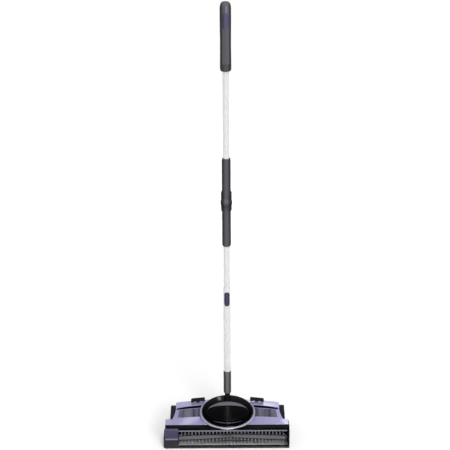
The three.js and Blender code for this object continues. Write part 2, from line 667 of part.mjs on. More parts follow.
// Ribs under the motor, the post under the switch, and the bosses of the cover's screws.
function fittings() {
  const motorLeft = -WELL_OUTER + FIT;
  const ribXs = [motorLeft + MOTOR_LENGTH / 4, motorLeft + (3 * MOTOR_LENGTH) / 4];
  const [ribFront, ribBack] = [at(REAR_BAY_FRONT - WALL / 2), at(MOTOR_SETBACK + MOTOR_R)];
  const ribs = ribXs.map((x) =>
    cut(
      box(x, x + CRADLE_RIB, ribFront, ribBack, UNDERSIDE + WALL / 2, MOTOR_Z),
      bar("x", MOTOR_R + SLIP, CRADLE_RIB + 2 * FIT, [x - FIT, at(MOTOR_SETBACK), MOTOR_Z], FACETS),
    ),
  );
  const half = SWITCH_WIDTH / 2;
  const [x, y] = [-PEDAL_X, at(PEDAL_SETBACK)];
  const post = box(x - half, x + half, y - half, y + half, UNDERSIDE + WALL / 2, SWITCH_BASE - FIT);
  const bosses = SCREW_XS.map((bossX) =>
    bar("z", BOSS_R, BOSS_TOP - UNDERSIDE, [bossX, at(SCREW_SETBACK), UNDERSIDE]),
  );
  return [...ribs, post, ...bosses];
}

const DOOR_HINGE_SETBACK = DUST_FRONT + DOOR_GAP + DOOR_HINGE_R;

// The holes in the dust bay's side walls that the door's pins turn in.
function doorPinHoles() {
  const depth = DOOR_PIN_LENGTH + FIT;
  const [y, z] = [at(DOOR_HINGE_SETBACK), UNDERSIDE + DOOR_HINGE_R];
  const starts = [-WELL_OUTER - depth, WELL_OUTER - FIT];
  return starts.map((x) => bar("x", DOOR_PIN_R + SLIP, depth + FIT, [x, y, z]));
}

// The block of the floor wiper, grown at its sides and lengthened downwards.
function wiperBlock(margin, longer) {
  const half = -BAY_LEFT - WIPER_INSET + margin;
  const middle = at(BAY_DEPTH + RAMP_THICKNESS / 2);
  const deep = WIPER_THICKNESS / 2 + margin;
  const foot = UNDERSIDE - WIPER_DROP - longer;
  return box(-half, half, middle - deep, middle + deep, foot, UNDERSIDE + WIPER_SEAT + margin);
}

const LATCH_Z = FLOOR_TOP + LATCH_LIFT;

// The slot that the latch bar slides through, in the wall behind the dust bay.
function latchSlot() {
  const half = LATCH_WIDTH / 2 + FIT;
  const [y0, y1] = [at(DUST_BACK) - FIT, at(REAR_BAY_FRONT) + FIT];
  return box(PEDAL_X - half, PEDAL_X + half, y0, y1, LATCH_Z - FIT, LATCH_Z + LATCH_THICKNESS + FIT);
}

// The section of the front face's wall down to a level.
function faceSection(foot) {
  const points = [[0, foot], ...faceRound(0), ...faceRound(WALL).reverse(), [WALL, foot]];
  return outline(points.map(([s, z]) => [at(s), z]));
}

// The clear window over the brush.
function frontWindow() {
  return pushed("x", faceSection(SILL_TOP + FIT), BAY_LEFT + FIT, BAY_RIGHT - FIT);
}

// The cover of the belt drive at the left end of the front.
function driveCover() {
  const foot = DRIVE_SPLIT + FIT;
  const left = LEFT_END + COVER_INSET;
  const face = pushed("x", faceSection(foot), left, BAY_LEFT - FIT / 2);
  const side = box(left, left + WALL, at(WALL / 2), at(SHOULDER), foot, FRONT_PARTING);
  const back = box(left, -TAIL_WIDTH / 2 - FIT, at(BAY_DEPTH), at(SHOULDER), foot, FRONT_PARTING);
  const rounding = headPlan(0, UNDERSIDE, FACE_TOP_Z + OVERRUN).translate([COVER_INSET, 0, 0]);
  return cut(joined(face, side, back).intersect(rounding), beltPassage());
}

// The dark band that closes the top of the front.
function frontLip() {
  const section = [
    [FACE_ROUND_DEPTH + FIT, FACE_TOP_Z],
    [LIP_BACK, LIP_BACK_Z],
    [LIP_BACK, LIP_BACK_Z - LIP_THICKNESS],
    [FACE_ROUND_DEPTH + FIT, FACE_TOP_Z - LIP_THICKNESS],
  ].map(([s, z]) => [at(s), z]);
  return pushed("x", outline(section), LEFT_END + COVER_INSET, RIGHT_END);
}

// The outline of one dust window seen from above, grown or shrunk by a margin.
function dustWindowPlan(side, margin) {
  const front = at(PANEL_BACK) - margin;
  const back = at(WINDOW_BACK) + margin;
  const inner = DUST_WINDOW_INNER - margin;
  const outer = DUST_WINDOW_OUTER + margin;
  const corners = [
    [side * inner, front],
    [side * (outer + DUST_WINDOW_SLANT), front],
    [side * outer, back],
    [side * inner, back],
  ];
  return pushed("z", outline(side > 0 ? corners : corners.reverse()), 0, CREST_Z + OVERRUN);
}

// The deck's tail seen from above, drawn in by an inset, from a place on Y back, with flared sides in front.
function deckTail(drawIn, flare, front, z0, z1) {
  const tail = TAIL_WIDTH / 2 - drawIn;
  const back = at(DECK_BACK) - drawIn;
  const corner = DECK_CORNER - drawIn;
  const shape = outline([
    [-tail - flare, front],
    [tail + flare, front],
    [tail, at(FLARE_BACK), FLARE_ROUND],
    [tail, back, corner],
    [-tail, back, corner],
    [-tail, at(FLARE_BACK), FLARE_ROUND],
  ]);
  return pushed("z", shape, z0, z1);
}

// The painted deck behind the lip, with end skirts, flared sides, window openings, the hole under the dome,
// the wells of the pedals' springs, and the wall that closes the dust bay off from the rear bay.
function deckCover() {
  const tall = CREST_Z + OVERRUN;
  const front = FRONT_PARTING + FIT;
  const wide = (drawIn, drop) => {
    const [left, right] = [LEFT_END + COVER_INSET + drawIn, RIGHT_END - DECK_INSET - drawIn];
    return box(left, right, at(LIP_BACK) + FIT - drop, at(SHOULDER) - drawIn, front - drop, tall);
  };
  const base = TAIL_PARTING + FIT;
  const [lapped, clear] = [at(SHOULDER) - WALL, at(SHOULDER) + FIT];
  const tails = deckTail(0, FLARE, clear, base, tall).add(deckTail(0, FLARE, lapped, front, tall));
  const outer = wide(0, 0).add(tails).intersect(underTop(0));
  const hollow = wide(WALL, OVERRUN).add(deckTail(WALL, 0, lapped - WALL, 0, tall));
  const inner = hollow.intersect(underTop(0, WALL));
  const access = bar("z", DOME_ACCESS_R, tall, [0, at(DOME_SETBACK), 0], FACETS);
  const half = TAIL_WIDTH / 2 - WALL / 2;
  const divider = box(-half, half, at(DUST_BACK), at(REAR_BAY_FRONT), base, tall);
  const panels = cut(outer, inner, dustWindowPlan(-1, 0), dustWindowPlan(1, 0), access);
  const wellFoot = PEDAL_SKIN - SPRING_WELL;
  const y = at(PEDAL_SETBACK);
  const onStem = (radius, z0) => [-1, 1].map((side) => bar("z", radius, tall - z0, [side * PEDAL_X, y, z0]));
  const cups = onStem(WELL_R + SPRING_WELL_FLOOR, wellFoot - SPRING_WELL_FLOOR);
  const fixed = [divider.intersect(underTop(0, WALL / 2)), ...cups.map((cup) => cup.intersect(underTop(0)))];
  return cut(joined(panels, ...fixed), ...onStem(WELL_R, wellFoot), ...onStem(STEM_R + SLIP, 0));
}

// The see-through panel over one side of the dust bay, held from below by its flange.
function dustWindow(side) {
  const bottom = WALL + FIT + DUST_WINDOW_FLANGE_THICKNESS;
  const layer = (top, margin) =>
    underTop(0, top).subtract(underTop(-OVERRUN, bottom)).intersect(dustWindowPlan(side, margin));
  return layer(DUST_WINDOW_SUNK, -FIT).add(layer(WALL + FIT, DUST_WINDOW_FLANGE));
}

// The outline of a side cover seen from the side, drawn in by an inset.
function sideOutline(inset) {
  return outline([
    [at(SHOULDER + FIT + inset), SIDE_BOTTOM + inset],
    [at(SIDE_BACK - inset), SIDE_BOTTOM + inset],
    [at(SIDE_BACK - inset), SIDE_TOP_Z - inset, SIDE_BACK_ROUND],
    [at(SHOULDER + FIT + inset), SIDE_TOP_Z - inset, SIDE_TOP_ROUND],
  ]);
}

// The cover along one side of the tail. The left one hides the drive belt.
function sideCover(side) {
  const inner = TAIL_WIDTH / 2 + FIT;
  const outer = TAIL_WIDTH / 2 + SIDE_WIDTH;
  const span = (from, to) => (side > 0 ? [from, to] : [-to, -from]);
  const shell = pushed("x", sideOutline(0), ...span(inner, outer));
  const hollow = pushed("x", sideOutline(WALL), ...span(inner - OVERRUN, outer - WALL));
  const y = at(ROLLER_SETBACK);
  const reach = LUG_HALF_DEPTH + FIT;
  const [x0, x1] = span(inner - OVERRUN, outer + OVERRUN);
  const lugSpace = box(x0, x1, y - reach, y + reach, 0, LUG_TOP + FIT);
  const flareSpace = deckTail(-FIT, FLARE, at(SHOULDER), TAIL_PARTING, CREST_Z);
  const cover = cut(shell, hollow, lugSpace, flareSpace);
  return side < 0 ? cover.subtract(beltPassage()) : cover;
}

// The sloping cover over the rear bay, with the neck's slot and low fills behind the deck's rounded corners.
function rearCover() {
  const front = at(DECK_BACK) + FIT;
  const tall = CREST_Z + OVERRUN;
  const span = (z0) => box(-HEAD_WIDTH, HEAD_WIDTH, front, at(HEAD_DEPTH) + OVERRUN, z0, tall);
  const base = TAIL_PARTING + FIT;
  const outer = headPlan(0, 0, CREST_Z).intersect(underTop(0)).intersect(span(base));
  const open = span(0).translate([0, -OVERRUN, 0]);
  const inner = headPlan(WALL, 0, CREST_Z).intersect(underTop(0, WALL)).intersect(open);
  const bosses = SCREW_XS.map((x) =>
    bar("z", BOSS_R, TAIL_SLOPE_Z - BOSS_TOP - FIT, [x, at(SCREW_SETBACK), BOSS_TOP + FIT]),
  );
  const tail = TAIL_WIDTH / 2;
  const fills = [-tail, tail - DECK_CORNER].map((x) =>
    cut(
      box(x, x + DECK_CORNER, front - DECK_CORNER, front + WALL, base, TAIL_STEP_Z - CROWN),
      deckTail(-FIT, 0, at(SHOULDER), 0, CREST_Z),
    ),
  );
  const slotFront = at(NECK_SETBACK) - NECK_STEM_R - NECK_SLOT_GAP;
  const slot = box(-NECK_SLOT_HALF, NECK_SLOT_HALF, slotFront, at(HEAD_DEPTH) + OVERRUN, 0, tall);
  const holes = SCREW_XS.map((x) =>
    bar("z", SCREW_R + SLIP, SCREW_LENGTH, [x, at(SCREW_SETBACK), UNDERSIDE + SCREW_HEAD]),
  );
  return cut(joined(outer.subtract(inner), ...fills, ...bosses), slot, ...holes);
}

// The turned form of the dome about its own middle, grown by a margin. Its top edge is at zero.
function domeForm(margin, capSteps = 4) {
  const radius = DOME_R + margin;
  const cap = Array.from({ length: capSteps + 1 }, (_, i) => {
    const share = i / capSteps;
    const r = (radius - DOME_EDGE) * Math.cos((Math.PI / 2) * share);
    return [share === 1 ? 0 : r, margin + DOME_RISE * (1 - (r / (radius - DOME_EDGE)) ** 2)];
  });
  const edge = [[radius, margin - DOME_EDGE], [radius - DOME_EDGE / 3, margin - DOME_EDGE / 3]];
  const profile = [[0, -DOME_SKIRT], [radius, -DOME_SKIRT], ...edge, ...cap];
  return turned("z", profile, [0, 0, 0], DOME_FACETS);
}

const DOME_Z = FACE_TOP_Z + DOME_FRONT_RISE + DOME_R * Math.sin(DOME_TILT);

// A piece that is made about the dome's middle, tilted and set on the deck.
const onDome = (piece) =>
  piece.rotate([THREE.MathUtils.radToDeg(DOME_TILT), 0, 0]).translate([0, at(DOME_SETBACK), DOME_Z]);

// The glossy dome, cut to the surface it stands on.
function dome() {
  return onDome(domeForm(0).subtract(domeForm(-WALL))).subtract(underTop(-DOME_SKIRT, -FIT));
}

// The bare oval plate that stands proud on the front of the dome and follows its crown.
function domePlate() {
  const oval = bar("z", PLATE_HALF_WIDTH, 2 * DOME_RISE, [0, 0, 0], DOME_FACETS)
    .scale([1, PLATE_HALF_DEPTH / PLATE_HALF_WIDTH, 1])
    .translate([0, -PLATE_FORWARD, 0]);
  return onDome(domeForm(PLATE_RAISE).intersect(oval).subtract(domeForm(FIT)));
}

// The crescent of trim round the front of the dome.
function domeTrim() {
  const inner = DOME_R + FIT;
  const outer = inner + TRIM_WIDTH;
  const profile = [
    [inner, -TRIM_HEIGHT - DOME_EDGE],
    [outer, -TRIM_HEIGHT - DOME_EDGE],
    [outer, -TRIM_DROP - DOME_EDGE],
    [outer - TRIM_DROP, -TRIM_DROP],
    [inner, -TRIM_DROP],
  ];
  const ring = onDome(turned("z", profile, [0, 0, 0], DOME_FACETS));
  const front = box(-HEAD_WIDTH, HEAD_WIDTH, at(0), at(TRIM_BACK), 0, CREST_Z + OVERRUN);
  return ring.subtract(underTop(-OVERRUN, -FIT)).intersect(front);
}

// The motor, lying across the rear bay behind the left wheel's belt.
function motor() {
  const bore = MOTOR_SHAFT_R + SLIP;
  const profile = [
    [bore, -MOTOR_NOSE_LENGTH],
    [MOTOR_NOSE_R, -MOTOR_NOSE_LENGTH],
    [MOTOR_NOSE_R, 0],
    [MOTOR_R, 0],
    [MOTOR_R, MOTOR_LENGTH],
    [bore, MOTOR_LENGTH],
  ];
  return turned("x", profile, [0, 0, 0]);
}

// A flanged belt pulley along X about its own middle, with a bore or a shaft.
function pulley(radius, bore) {
  const half = PULLEY_WIDTH / 2;
  const flange = radius + PULLEY_FLANGE_HEIGHT;
  const rim = [
    [flange, -half],
    [flange, PULLEY_FLANGE - half],
    [radius, PULLEY_FLANGE - half],
    [radius, half - PULLEY_FLANGE],
    [flange, half - PULLEY_FLANGE],
    [flange, half],
  ];
  const profile = bore > 0 ? [[bore, -half], ...rim, [bore, half]] : [[0, -half], ...rim, [0, half]];
  return turned("x", profile, [0, 0, 0], SMALL_FACETS);
}

// The motor's pulley on its shaft.
function motorPulley() {
  const start = -PULLEY_WIDTH / 2;
  const end = -WELL_OUTER + FIT + MOTOR_LENGTH - BELT_X - OVERRUN;
  return pulley(MOTOR_PULLEY_R, 0).add(bar("x", MOTOR_SHAFT_R, end - start, [start, 0, 0]));
}

// The belt's path seen along X: two arcs and the straights between them, grown by a margin.
function beltPath(margin) {
  const [r1, r2] = [BRUSH_PULLEY_R + margin, MOTOR_PULLEY_R + margin];
  const [y1, z1, y2, z2] = [at(BRUSH_SETBACK), BRUSH_Z, at(MOTOR_SETBACK), MOTOR_Z];
  const heading = Math.atan2(z2 - z1, y2 - y1);
  const lean = Math.acos((r1 - r2) / Math.hypot(y2 - y1, z2 - z1));
  const path = new THREE.Shape();
  path.absarc(y1, z1, r1, heading + lean, heading - lean + 2 * Math.PI, false);
  path.absarc(y2, z2, r2, heading - lean, heading + lean, false);
  path.closePath();
  return path;
}

// The flat belt round both pulleys.
function driveBelt() {
  const path = beltPath(SLIP + BELT_THICKNESS);
  path.holes.push(new THREE.Path(beltPath(SLIP).getPoints(SMALL_FACETS / 2)));
  return pushed("x", path, BELT_X - BELT_HALF, BELT_X + BELT_HALF, SMALL_FACETS / 2);
}

const BRUSH_LEFT = BAY_LEFT + FIT;
const BRUSH_RIGHT = BAY_RIGHT - TIP_CLEARANCE;
const BRUSH_LENGTH = BRUSH_RIGHT - BRUSH_LEFT;

// The brush's core and its two journals, about the brush's own axis.
function brushCore() {
  const leftEnd = BELT_X - PULLEY_WIDTH / 2 - FIT;
  const rightEnd = BAY_RIGHT + END_WALL - WALL - SLIP;
  return joined(
    bar("x", CORE_R, BRUSH_LENGTH, [BRUSH_LEFT + FIT, 0, 0], FACETS),
    bar("x", SHAFT_R, rightEnd - leftEnd, [leftEnd, 0, 0]),
  );
}

// One V-shaped row of tufts on a slice of backing, about the brush's own axis.
function tuftRow(row) {
  const start = BRUSH_LEFT + TUFT_END_MARGIN / 2;
  const length = BRUSH_LENGTH - TUFT_END_MARGIN;
  const first = FIRST_ROW_ANGLE + (2 * Math.PI * row) / TUFT_ROWS;
  const angleAt = (share) => first + ROW_SWEEP * Math.abs(2 * share - 1);
  const place = (x, radius, angle) => [x, -radius * Math.sin(angle), radius * Math.cos(angle)];
  const innerR = (CORE_R + SLIP) / Math.cos(BACKING_HALF_ANGLE);
  const outerR = innerR + BACKING_THICKNESS;
  const rings = Array.from({ length: BACKING_STATIONS }, (_, i) => {
    const share = i / (BACKING_STATIONS - 1);
    const [x, middle] = [start + length * share, angleAt(share)];
    const sides = [-1, 1].map((side) => middle + side * BACKING_HALF_ANGLE);
    return [...sides.map((a) => place(x, innerR, a)), ...sides.reverse().map((a) => place(x, outerR, a))];
  });
  const backing = lofted(rings, ([, v, w]) => new THREE.Vector2(v, w));
  const root = innerR + BACKING_THICKNESS / 2;
  const strands = [];
  for (let tuft = 0; tuft < TUFTS_PER_ROW; tuft++) {
    const share = (tuft + 0.5) / TUFTS_PER_ROW;
    for (let n = 0; n < STRANDS_PER_TUFT; n++) {
      const side = n - (STRANDS_PER_TUFT - 1) / 2;
      const strand = new THREE.ConeGeometry(STRAND_R, TUFT_REACH - root, 3).rotateX(Math.PI / 2);
      strand.translate(0, 0, (TUFT_REACH - root) / 2).rotateY(STRAND_SPLAY * side);
      strand.translate(start + length * share + STRAND_PITCH * side, 0, root).rotateX(angleAt(share));
      strands.push(solid(strand));
    }
  }
  return wasm.Manifold.union([backing, ...strands]);
}

// A plain bush along X about its own axis.
function bush(length) {
  const section = [[SHAFT_R + SLIP, 0], [BUSH_R, 0], [BUSH_R, length], [SHAFT_R + SLIP, length]];
  return turned("x", section, [0, 0, 0], SMALL_FACETS);
}

// A foot pedal: a wedge-shaped plate that leans outwards, on a stem with a disc for its spring and a stop
// collar, about the stem's axis at the deck's skin.
function pedal(side) {
  const half = PEDAL_DEPTH / 2;
  const plate = pushed(
    "x",
    outline([
      [-half, 0],
      [half - PEDAL_BACK_THICKNESS / 2, 0],
      [half, PEDAL_BACK_THICKNESS / 2],
      [half, PEDAL_BACK_THICKNESS, PEDAL_FRONT_THICKNESS / 2],
      [-half, PEDAL_FRONT_THICKNESS, PEDAL_FRONT_THICKNESS / 2],
    ]),
    -PEDAL_WIDTH / 2,
    PEDAL_WIDTH / 2,
  );
  const collarTop = -SPRING_WELL - SPRING_WELL_FLOOR - FIT;
  return joined(
    plate.rotate([0, side * THREE.MathUtils.radToDeg(PEDAL_TILT), 0]).translate([0, 0, PEDAL_RISE]),
    bar("z", SPRING_R + SPRING_WIRE_R, SPRING_SEAT + FIT, [0, 0, PEDAL_RISE - SPRING_SEAT]),
    bar("z", STEM_R, STEM_DROP + PEDAL_RISE + PEDAL_FRONT_THICKNESS / 2, [0, 0, -STEM_DROP]),
    bar("z", STEM_COLLAR_R, STEM_COLLAR, [0, 0, collarTop - STEM_COLLAR]),
  );
}

// A coil spring round a pedal's stem, about the stem's axis. Prints its least gap to itself.
function pedalSpring(height) {
  const [steps, sides] = [8, 5];
  const count = SPRING_TURNS * steps;
  const rise = height - 2 * SPRING_WIRE_R;
  const rings = [];
  const middles = [];
  for (let i = 0; i <= count; i++) {
    const turn = (2 * Math.PI * i) / steps;
    const middle = [SPRING_R * Math.cos(turn), SPRING_R * Math.sin(turn), SPRING_WIRE_R + (rise * i) / count];
    middles.push(new THREE.Vector3(...middle));
    rings.push(
      Array.from({ length: sides }, (_, k) => {
        const round = (2 * Math.PI * k) / sides;
        const r = SPRING_R + SPRING_WIRE_R * Math.cos(round);
        return [r * Math.cos(turn), r * Math.sin(turn), middle[2] + SPRING_WIRE_R * Math.sin(round)];
      }),
    );
  }
  let least = Infinity;
  for (let i = 0; i < middles.length; i++) {
    for (let k = i + steps / 2; k < middles.length; k++) {
      least = Math.min(least, middles[i].distanceTo(middles[k]) - 2 * SPRING_WIRE_R);
    }
  }
  console.log("least gap between the spring's coils", least.toFixed(2));
  return lofted(rings, ([u, , w]) => new THREE.Vector2(Math.abs(u), w));
}

// The door under the dust bay, about its hinge axis at its front edge.
function binDoor() {
  const half = WELL_OUTER - DOOR_GAP;
  const length = DUST_BACK - DOOR_HINGE_SETBACK - DOOR_GAP;
  const pinHalf = half + DOOR_GAP + DOOR_PIN_LENGTH - FIT;
  return joined(
    box(-half, half, 0, length, -DOOR_HINGE_R, -DOOR_HINGE_R + WALL),
    bar("x", DOOR_HINGE_R, 2 * half, [-half, 0, 0]),
    bar("x", DOOR_PIN_R, 2 * pinHalf, [-pinHalf, 0, 0]),
    box(-half, half, length - WALL, length, -DOOR_HINGE_R, DOOR_HINGE_R),
  );
}

// The latch of the dust door: a bar through the wall and a riser under the pedal's stem.
function binLatch() {
  const half = LATCH_WIDTH / 2;
  const riserTop = STEM_BOTTOM - PEDAL_TRAVEL - FIT;
  const [x, back] = [PEDAL_X, at(PEDAL_SETBACK) + half];
  const tip = at(DUST_BACK) - DOOR_GAP + FIT;
  return joined(
    box(x - half, x + half, tip, back, LATCH_Z, LATCH_Z + LATCH_THICKNESS),
    box(x - half, x + half, back - LATCH_WIDTH, back, LATCH_Z, riserTop),
  );
}

// The switch under the left pedal.
function powerSwitch() {
  const half = SWITCH_WIDTH / 2;
  return joined(
    box(-half, half, -half, half, 0, SWITCH_HEIGHT),
    bar("z", SWITCH_PLUNGER_R, SWITCH_HEIGHT + PEDAL_TRAVEL, [0, 0, 0]),
  );
}

// The charging socket in the rear wall: flange, barrel, bore and centre pin, along Y from its outer face.
function chargeSocket() {
  const flange = SOCKET_R + WALL;
  const seat = -WALL - FIT;
  const profile = [
    [0, -SOCKET_LENGTH],
    [SOCKET_R, -SOCKET_LENGTH],
    [SOCKET_R, seat - WALL],
    [flange, seat - WALL],
    [flange, seat],
    [SOCKET_R, seat],
    [SOCKET_R, 0],
    [SOCKET_BORE_R, 0],
    [SOCKET_BORE_R, -SOCKET_LENGTH + WALL],
    [SOCKET_PIN_R, -SOCKET_LENGTH + WALL],
    [SOCKET_PIN_R, -WALL],
    [0, -WALL],
  ];
  return turned("y", profile, [0, 0, 0], SMALL_FACETS);
}

// A pan-head screw pointing up, from the underside of its head.
function coverScrew() {
  return joined(
    bar("z", SCREW_HEAD_R, SCREW_HEAD, [0, 0, 0]),
    bar("z", SCREW_R, SCREW_HEAD + SCREW_LENGTH - OVERRUN, [0, 0, 0]),
  );
}

// A rear wheel's hub, and the tyre round it, along X about the axle.
function wheelHub() {
  const half = REAR_WHEEL_WIDTH / 2;
  const rim = REAR_WHEEL_R - TYRE_THICKNESS - SLIP;
  const bore = REAR_AXLE_R + SLIP;
  const web = bore + WALL;
  const profile = [
    [bore, -half],
    [web, -half],
    [web, half / 2],
    [rim - WALL, half / 2],
    [rim - WALL, -half],
    [rim, -half],
    [rim, half],
    [bore, half],
  ];
  return turned("x", profile, [0, 0, 0]);
}

function wheelTyre() {
  const half = REAR_WHEEL_WIDTH / 2;
  const inner = REAR_WHEEL_R - TYRE_THICKNESS;
  const shoulder = REAR_WHEEL_R - TYRE_THICKNESS / 4;
  const profile = [
    [inner, -half],
    [shoulder, -half],
    [REAR_WHEEL_R, -half + TYRE_THICKNESS / 2],
    [REAR_WHEEL_R, half - TYRE_THICKNESS / 2],
    [shoulder, half],
    [inner, half],
  ];
  return turned("x", profile, [0, 0, 0]);
}

// A headed pin along X from its own middle.
function headedPin(radius, length, headR, head) {
  return joined(
    bar("x", radius, length, [-length / 2, 0, 0]),
    bar("x", headR, head, [-length / 2 - head, 0, 0]),
    bar("x", headR, head, [length / 2, 0, 0]),
  );
}

// The neck: a barrel across the head and a stem with the spigot that the neck socket fits over.
function neckYoke() {
  const y = 0;
  return cut(
    joined(
      bar("x", NECK_BARREL_R, 2 * NECK_BARREL_HALF, [-NECK_BARREL_HALF, y, 0], FACETS),
      tower([[0, NECK_STEM_R], [NECK_STEM, NECK_STEM_R], [NECK_STEM + SPIGOT_LENGTH, SPIGOT_R]], [0, y, 0]),
    ),
    bar("x", NECK_PIN_R + SLIP, 2 * (NECK_BARREL_HALF + OVERRUN), [-NECK_BARREL_HALF - OVERRUN, y, 0]),
  );
}

// The dark sleeve between the neck and the lower tube.
function neckSocket() {
  const seat = SPIGOT_LENGTH + WALL;
  const low = SPIGOT_R + SLIP;
  const high = LOWER_TUBE_R + SLIP;
  const profile = [
    [low, 0],
    [NECK_SOCKET_R - WALL / 2, 0],
    [NECK_SOCKET_R, WALL],
    [NECK_SOCKET_R, NECK_SOCKET_LENGTH],
    [high, NECK_SOCKET_LENGTH],
    [high, seat],
    [low, seat],
  ];
  return turned("z", profile, [0, 0, 0]);
}

// An upright pill through the front of the tubes, grown by a margin, from one Y to another.
function buttonPill(margin, y0, y1) {
  const half = BUTTON_WIDTH / 2 + margin;
  const straight = (BUTTON_HEIGHT - BUTTON_WIDTH) / 2;
  const shape = new THREE.Shape();
  shape.absarc(straight, 0, half, -Math.PI / 2, Math.PI / 2, false);
  shape.absarc(-straight, 0, half, Math.PI / 2, (3 * Math.PI) / 2, false);
  shape.closePath();
  return pushed("y", shape, y0, y1, 8).translate([0, 0, BUTTON_Z]);
}

const BUTTON_FRONT = -LOWER_TUBE_R - BUTTON_PROUD;
const BUTTON_BACK = BUTTON_FRONT + BUTTON_DEPTH;

function lowerTube() {
  const start = NECK_STEM + SPIGOT_LENGTH + WALL + FIT;
  const whole = tube(LOWER_TUBE_R, LOWER_TUBE_R - TUBE_WALL, LOWER_TUBE_TOP - start, [0, 0, start]);
  return whole.subtract(buttonPill(FIT, -LOWER_TUBE_R - OVERRUN, BUTTON_BACK + BUTTON_TRAVEL));
}

function middleTube() {
  const start = LOWER_TUBE_TOP - MIDDLE_TUBE_LAP;
  const end = FOLD_Z - SLEEVE_SOLID - FIT;
  const whole = tube(MIDDLE_TUBE_R, MIDDLE_TUBE_R - TUBE_WALL, end - start, [0, 0, start]);
  return whole.subtract(buttonPill(FIT, -LOWER_TUBE_R - OVERRUN, BUTTON_BACK + BUTTON_TRAVEL));
}

// The purple release button: a pill with a crowned front.
function releaseButton() {
  const foot = [0, 0, BUTTON_Z - BUTTON_HEIGHT];
  const crown = bar("z", LOWER_TUBE_R + BUTTON_PROUD, 2 * BUTTON_HEIGHT, foot, FACETS);
  return buttonPill(0, BUTTON_FRONT, BUTTON_BACK).intersect(crown);
}

// Ellipses from a fold's bulge out along its sleeve, as heights over the fold axis.
function sleeveRings(length) {
  const lip = SLEEVE_R - SLEEVE_LIP / 3;
  return [
    [SLIP, BULGE_HALF_WIDTH, BULGE_HALF_DEPTH],
    [BULGE_HEIGHT, BULGE_HALF_WIDTH, BULGE_HALF_DEPTH],
    [BULGE_HEIGHT + BULGE_TAPER, SLEEVE_R],
    [length - SLEEVE_LIP, SLEEVE_R],
    [length, lip],
  ];
}

// A sleeve above the fold axis, with a bore for its tube.
function sleeve(length) {
  const body = tower(sleeveRings(length), [0, FOLD_OFFSET, 0]);
  const bore = MIDDLE_TUBE_R + SLIP;
  return body.subtract(bar("z", bore, length, [0, FOLD_OFFSET, SLEEVE_SOLID], FACETS));
}

// The knuckle discs of the fold between two places on X.
function knuckle(x0, x1, radius) {
  return bar("x", radius, x1 - x0, [x0, 0, 0], FACETS);
}

const FOLD_BORE = () => knuckle(-BULGE_HALF_WIDTH - OVERRUN, BULGE_HALF_WIDTH + OVERRUN, FOLD_PIN_R + SLIP);

// The lower half of the fold, with two ears and the pocket of the fold button, about the fold axis.
function lowerFoldSocket() {
  const ears = [[-EAR_OUTER, -TONGUE_HALF - FIT], [TONGUE_HALF + FIT, EAR_OUTER]];
  const half = FOLD_BUTTON_WIDTH / 2 + FIT;
  const tall = FOLD_BUTTON_HEIGHT / 2 + FIT;
  const back = FOLD_OFFSET + BULGE_HALF_DEPTH;
  const depth = FOLD_BUTTON_DEPTH - FOLD_BUTTON_PROUD + FOLD_BUTTON_TRAVEL + FIT;
  const tongueSpace = knuckle(-TONGUE_HALF - FIT, TONGUE_HALF + FIT, KNUCKLE_R + FIT);
  return cut(
    joined(
      cut(sleeve(LOWER_SLEEVE).mirror([0, 0, 1]), tongueSpace),
      ...ears.map(([x0, x1]) => knuckle(x0, x1, KNUCKLE_R)),
    ),
    FOLD_BORE(),
    box(-half, half, back - depth, back + OVERRUN, -FOLD_BUTTON_DROP - tall, -FOLD_BUTTON_DROP + tall),
  );
}

// The upper half of the fold, with the tongue between the ears.
function upperFoldSocket() {
  const reach = BULGE_HALF_WIDTH + OVERRUN;
  return cut(
    joined(
      cut(
        sleeve(UPPER_SLEEVE),
        knuckle(-reach, -TONGUE_HALF, KNUCKLE_R + FIT),
        knuckle(TONGUE_HALF, reach, KNUCKLE_R + FIT),
      ),
      knuckle(-TONGUE_HALF, TONGUE_HALF, KNUCKLE_R),
    ),
    FOLD_BORE(),
  );
}

// The thumb button at the back of the fold's lower half.
function foldButton() {
  const half = FOLD_BUTTON_WIDTH / 2;
  const tall = FOLD_BUTTON_HEIGHT / 2;
  const back = FOLD_OFFSET + BULGE_HALF_DEPTH + FOLD_BUTTON_PROUD;
  const corner = FOLD_BUTTON_WIDTH / 4;
  const corners = [[-tall, -half], [tall, -half], [tall, half], [-tall, half]];
  const shape = outline(corners.map(([u, v]) => [u, v, corner]));
  return pushed("y", shape, back - FOLD_BUTTON_DEPTH, back).translate([0, 0, -FOLD_BUTTON_DROP]);
}

function upperTube() {
  const start = SLEEVE_SOLID + FIT;
  const end = GRIP_BOTTOM + GRIP_LENGTH - GRIP_CAP_LENGTH - GRIP_PLUG - FIT;
  return tube(MIDDLE_TUBE_R, MIDDLE_TUBE_R - TUBE_WALL, end - start, [0, FOLD_OFFSET, start]);
}

const GRIP_BODY_LENGTH = GRIP_LENGTH - GRIP_CAP_LENGTH;
const PAD_Z = GRIP_BOTTOM + GRIP_BODY_LENGTH - PAD_LENGTH - FIT;

// The grip's outer form without its cap, grown by a margin.
function gripForm(margin) {
  return tower(
    [
      [0, MIDDLE_TUBE_R + WALL + margin],
      [GRIP_END / 2, GRIP_R - WALL / 2 + margin],
      [GRIP_END, GRIP_R + margin],
      [GRIP_BODY_LENGTH, GRIP_R - WALL / 4 + margin],
    ],
    [0, FOLD_OFFSET, GRIP_BOTTOM],
  );
}

// The upright block in which the purple pad is let into the front of the grip.
function padBlock(margin) {
  const half = PAD_HALF_WIDTH + margin;
  const deepest = FOLD_OFFSET - MIDDLE_TUBE_R - SLIP - PAD_SEAT + margin;
  return box(-half, half, -GRIP_R, deepest - FIT, PAD_Z - margin, PAD_Z + PAD_LENGTH - FIT + 2 * margin);
}

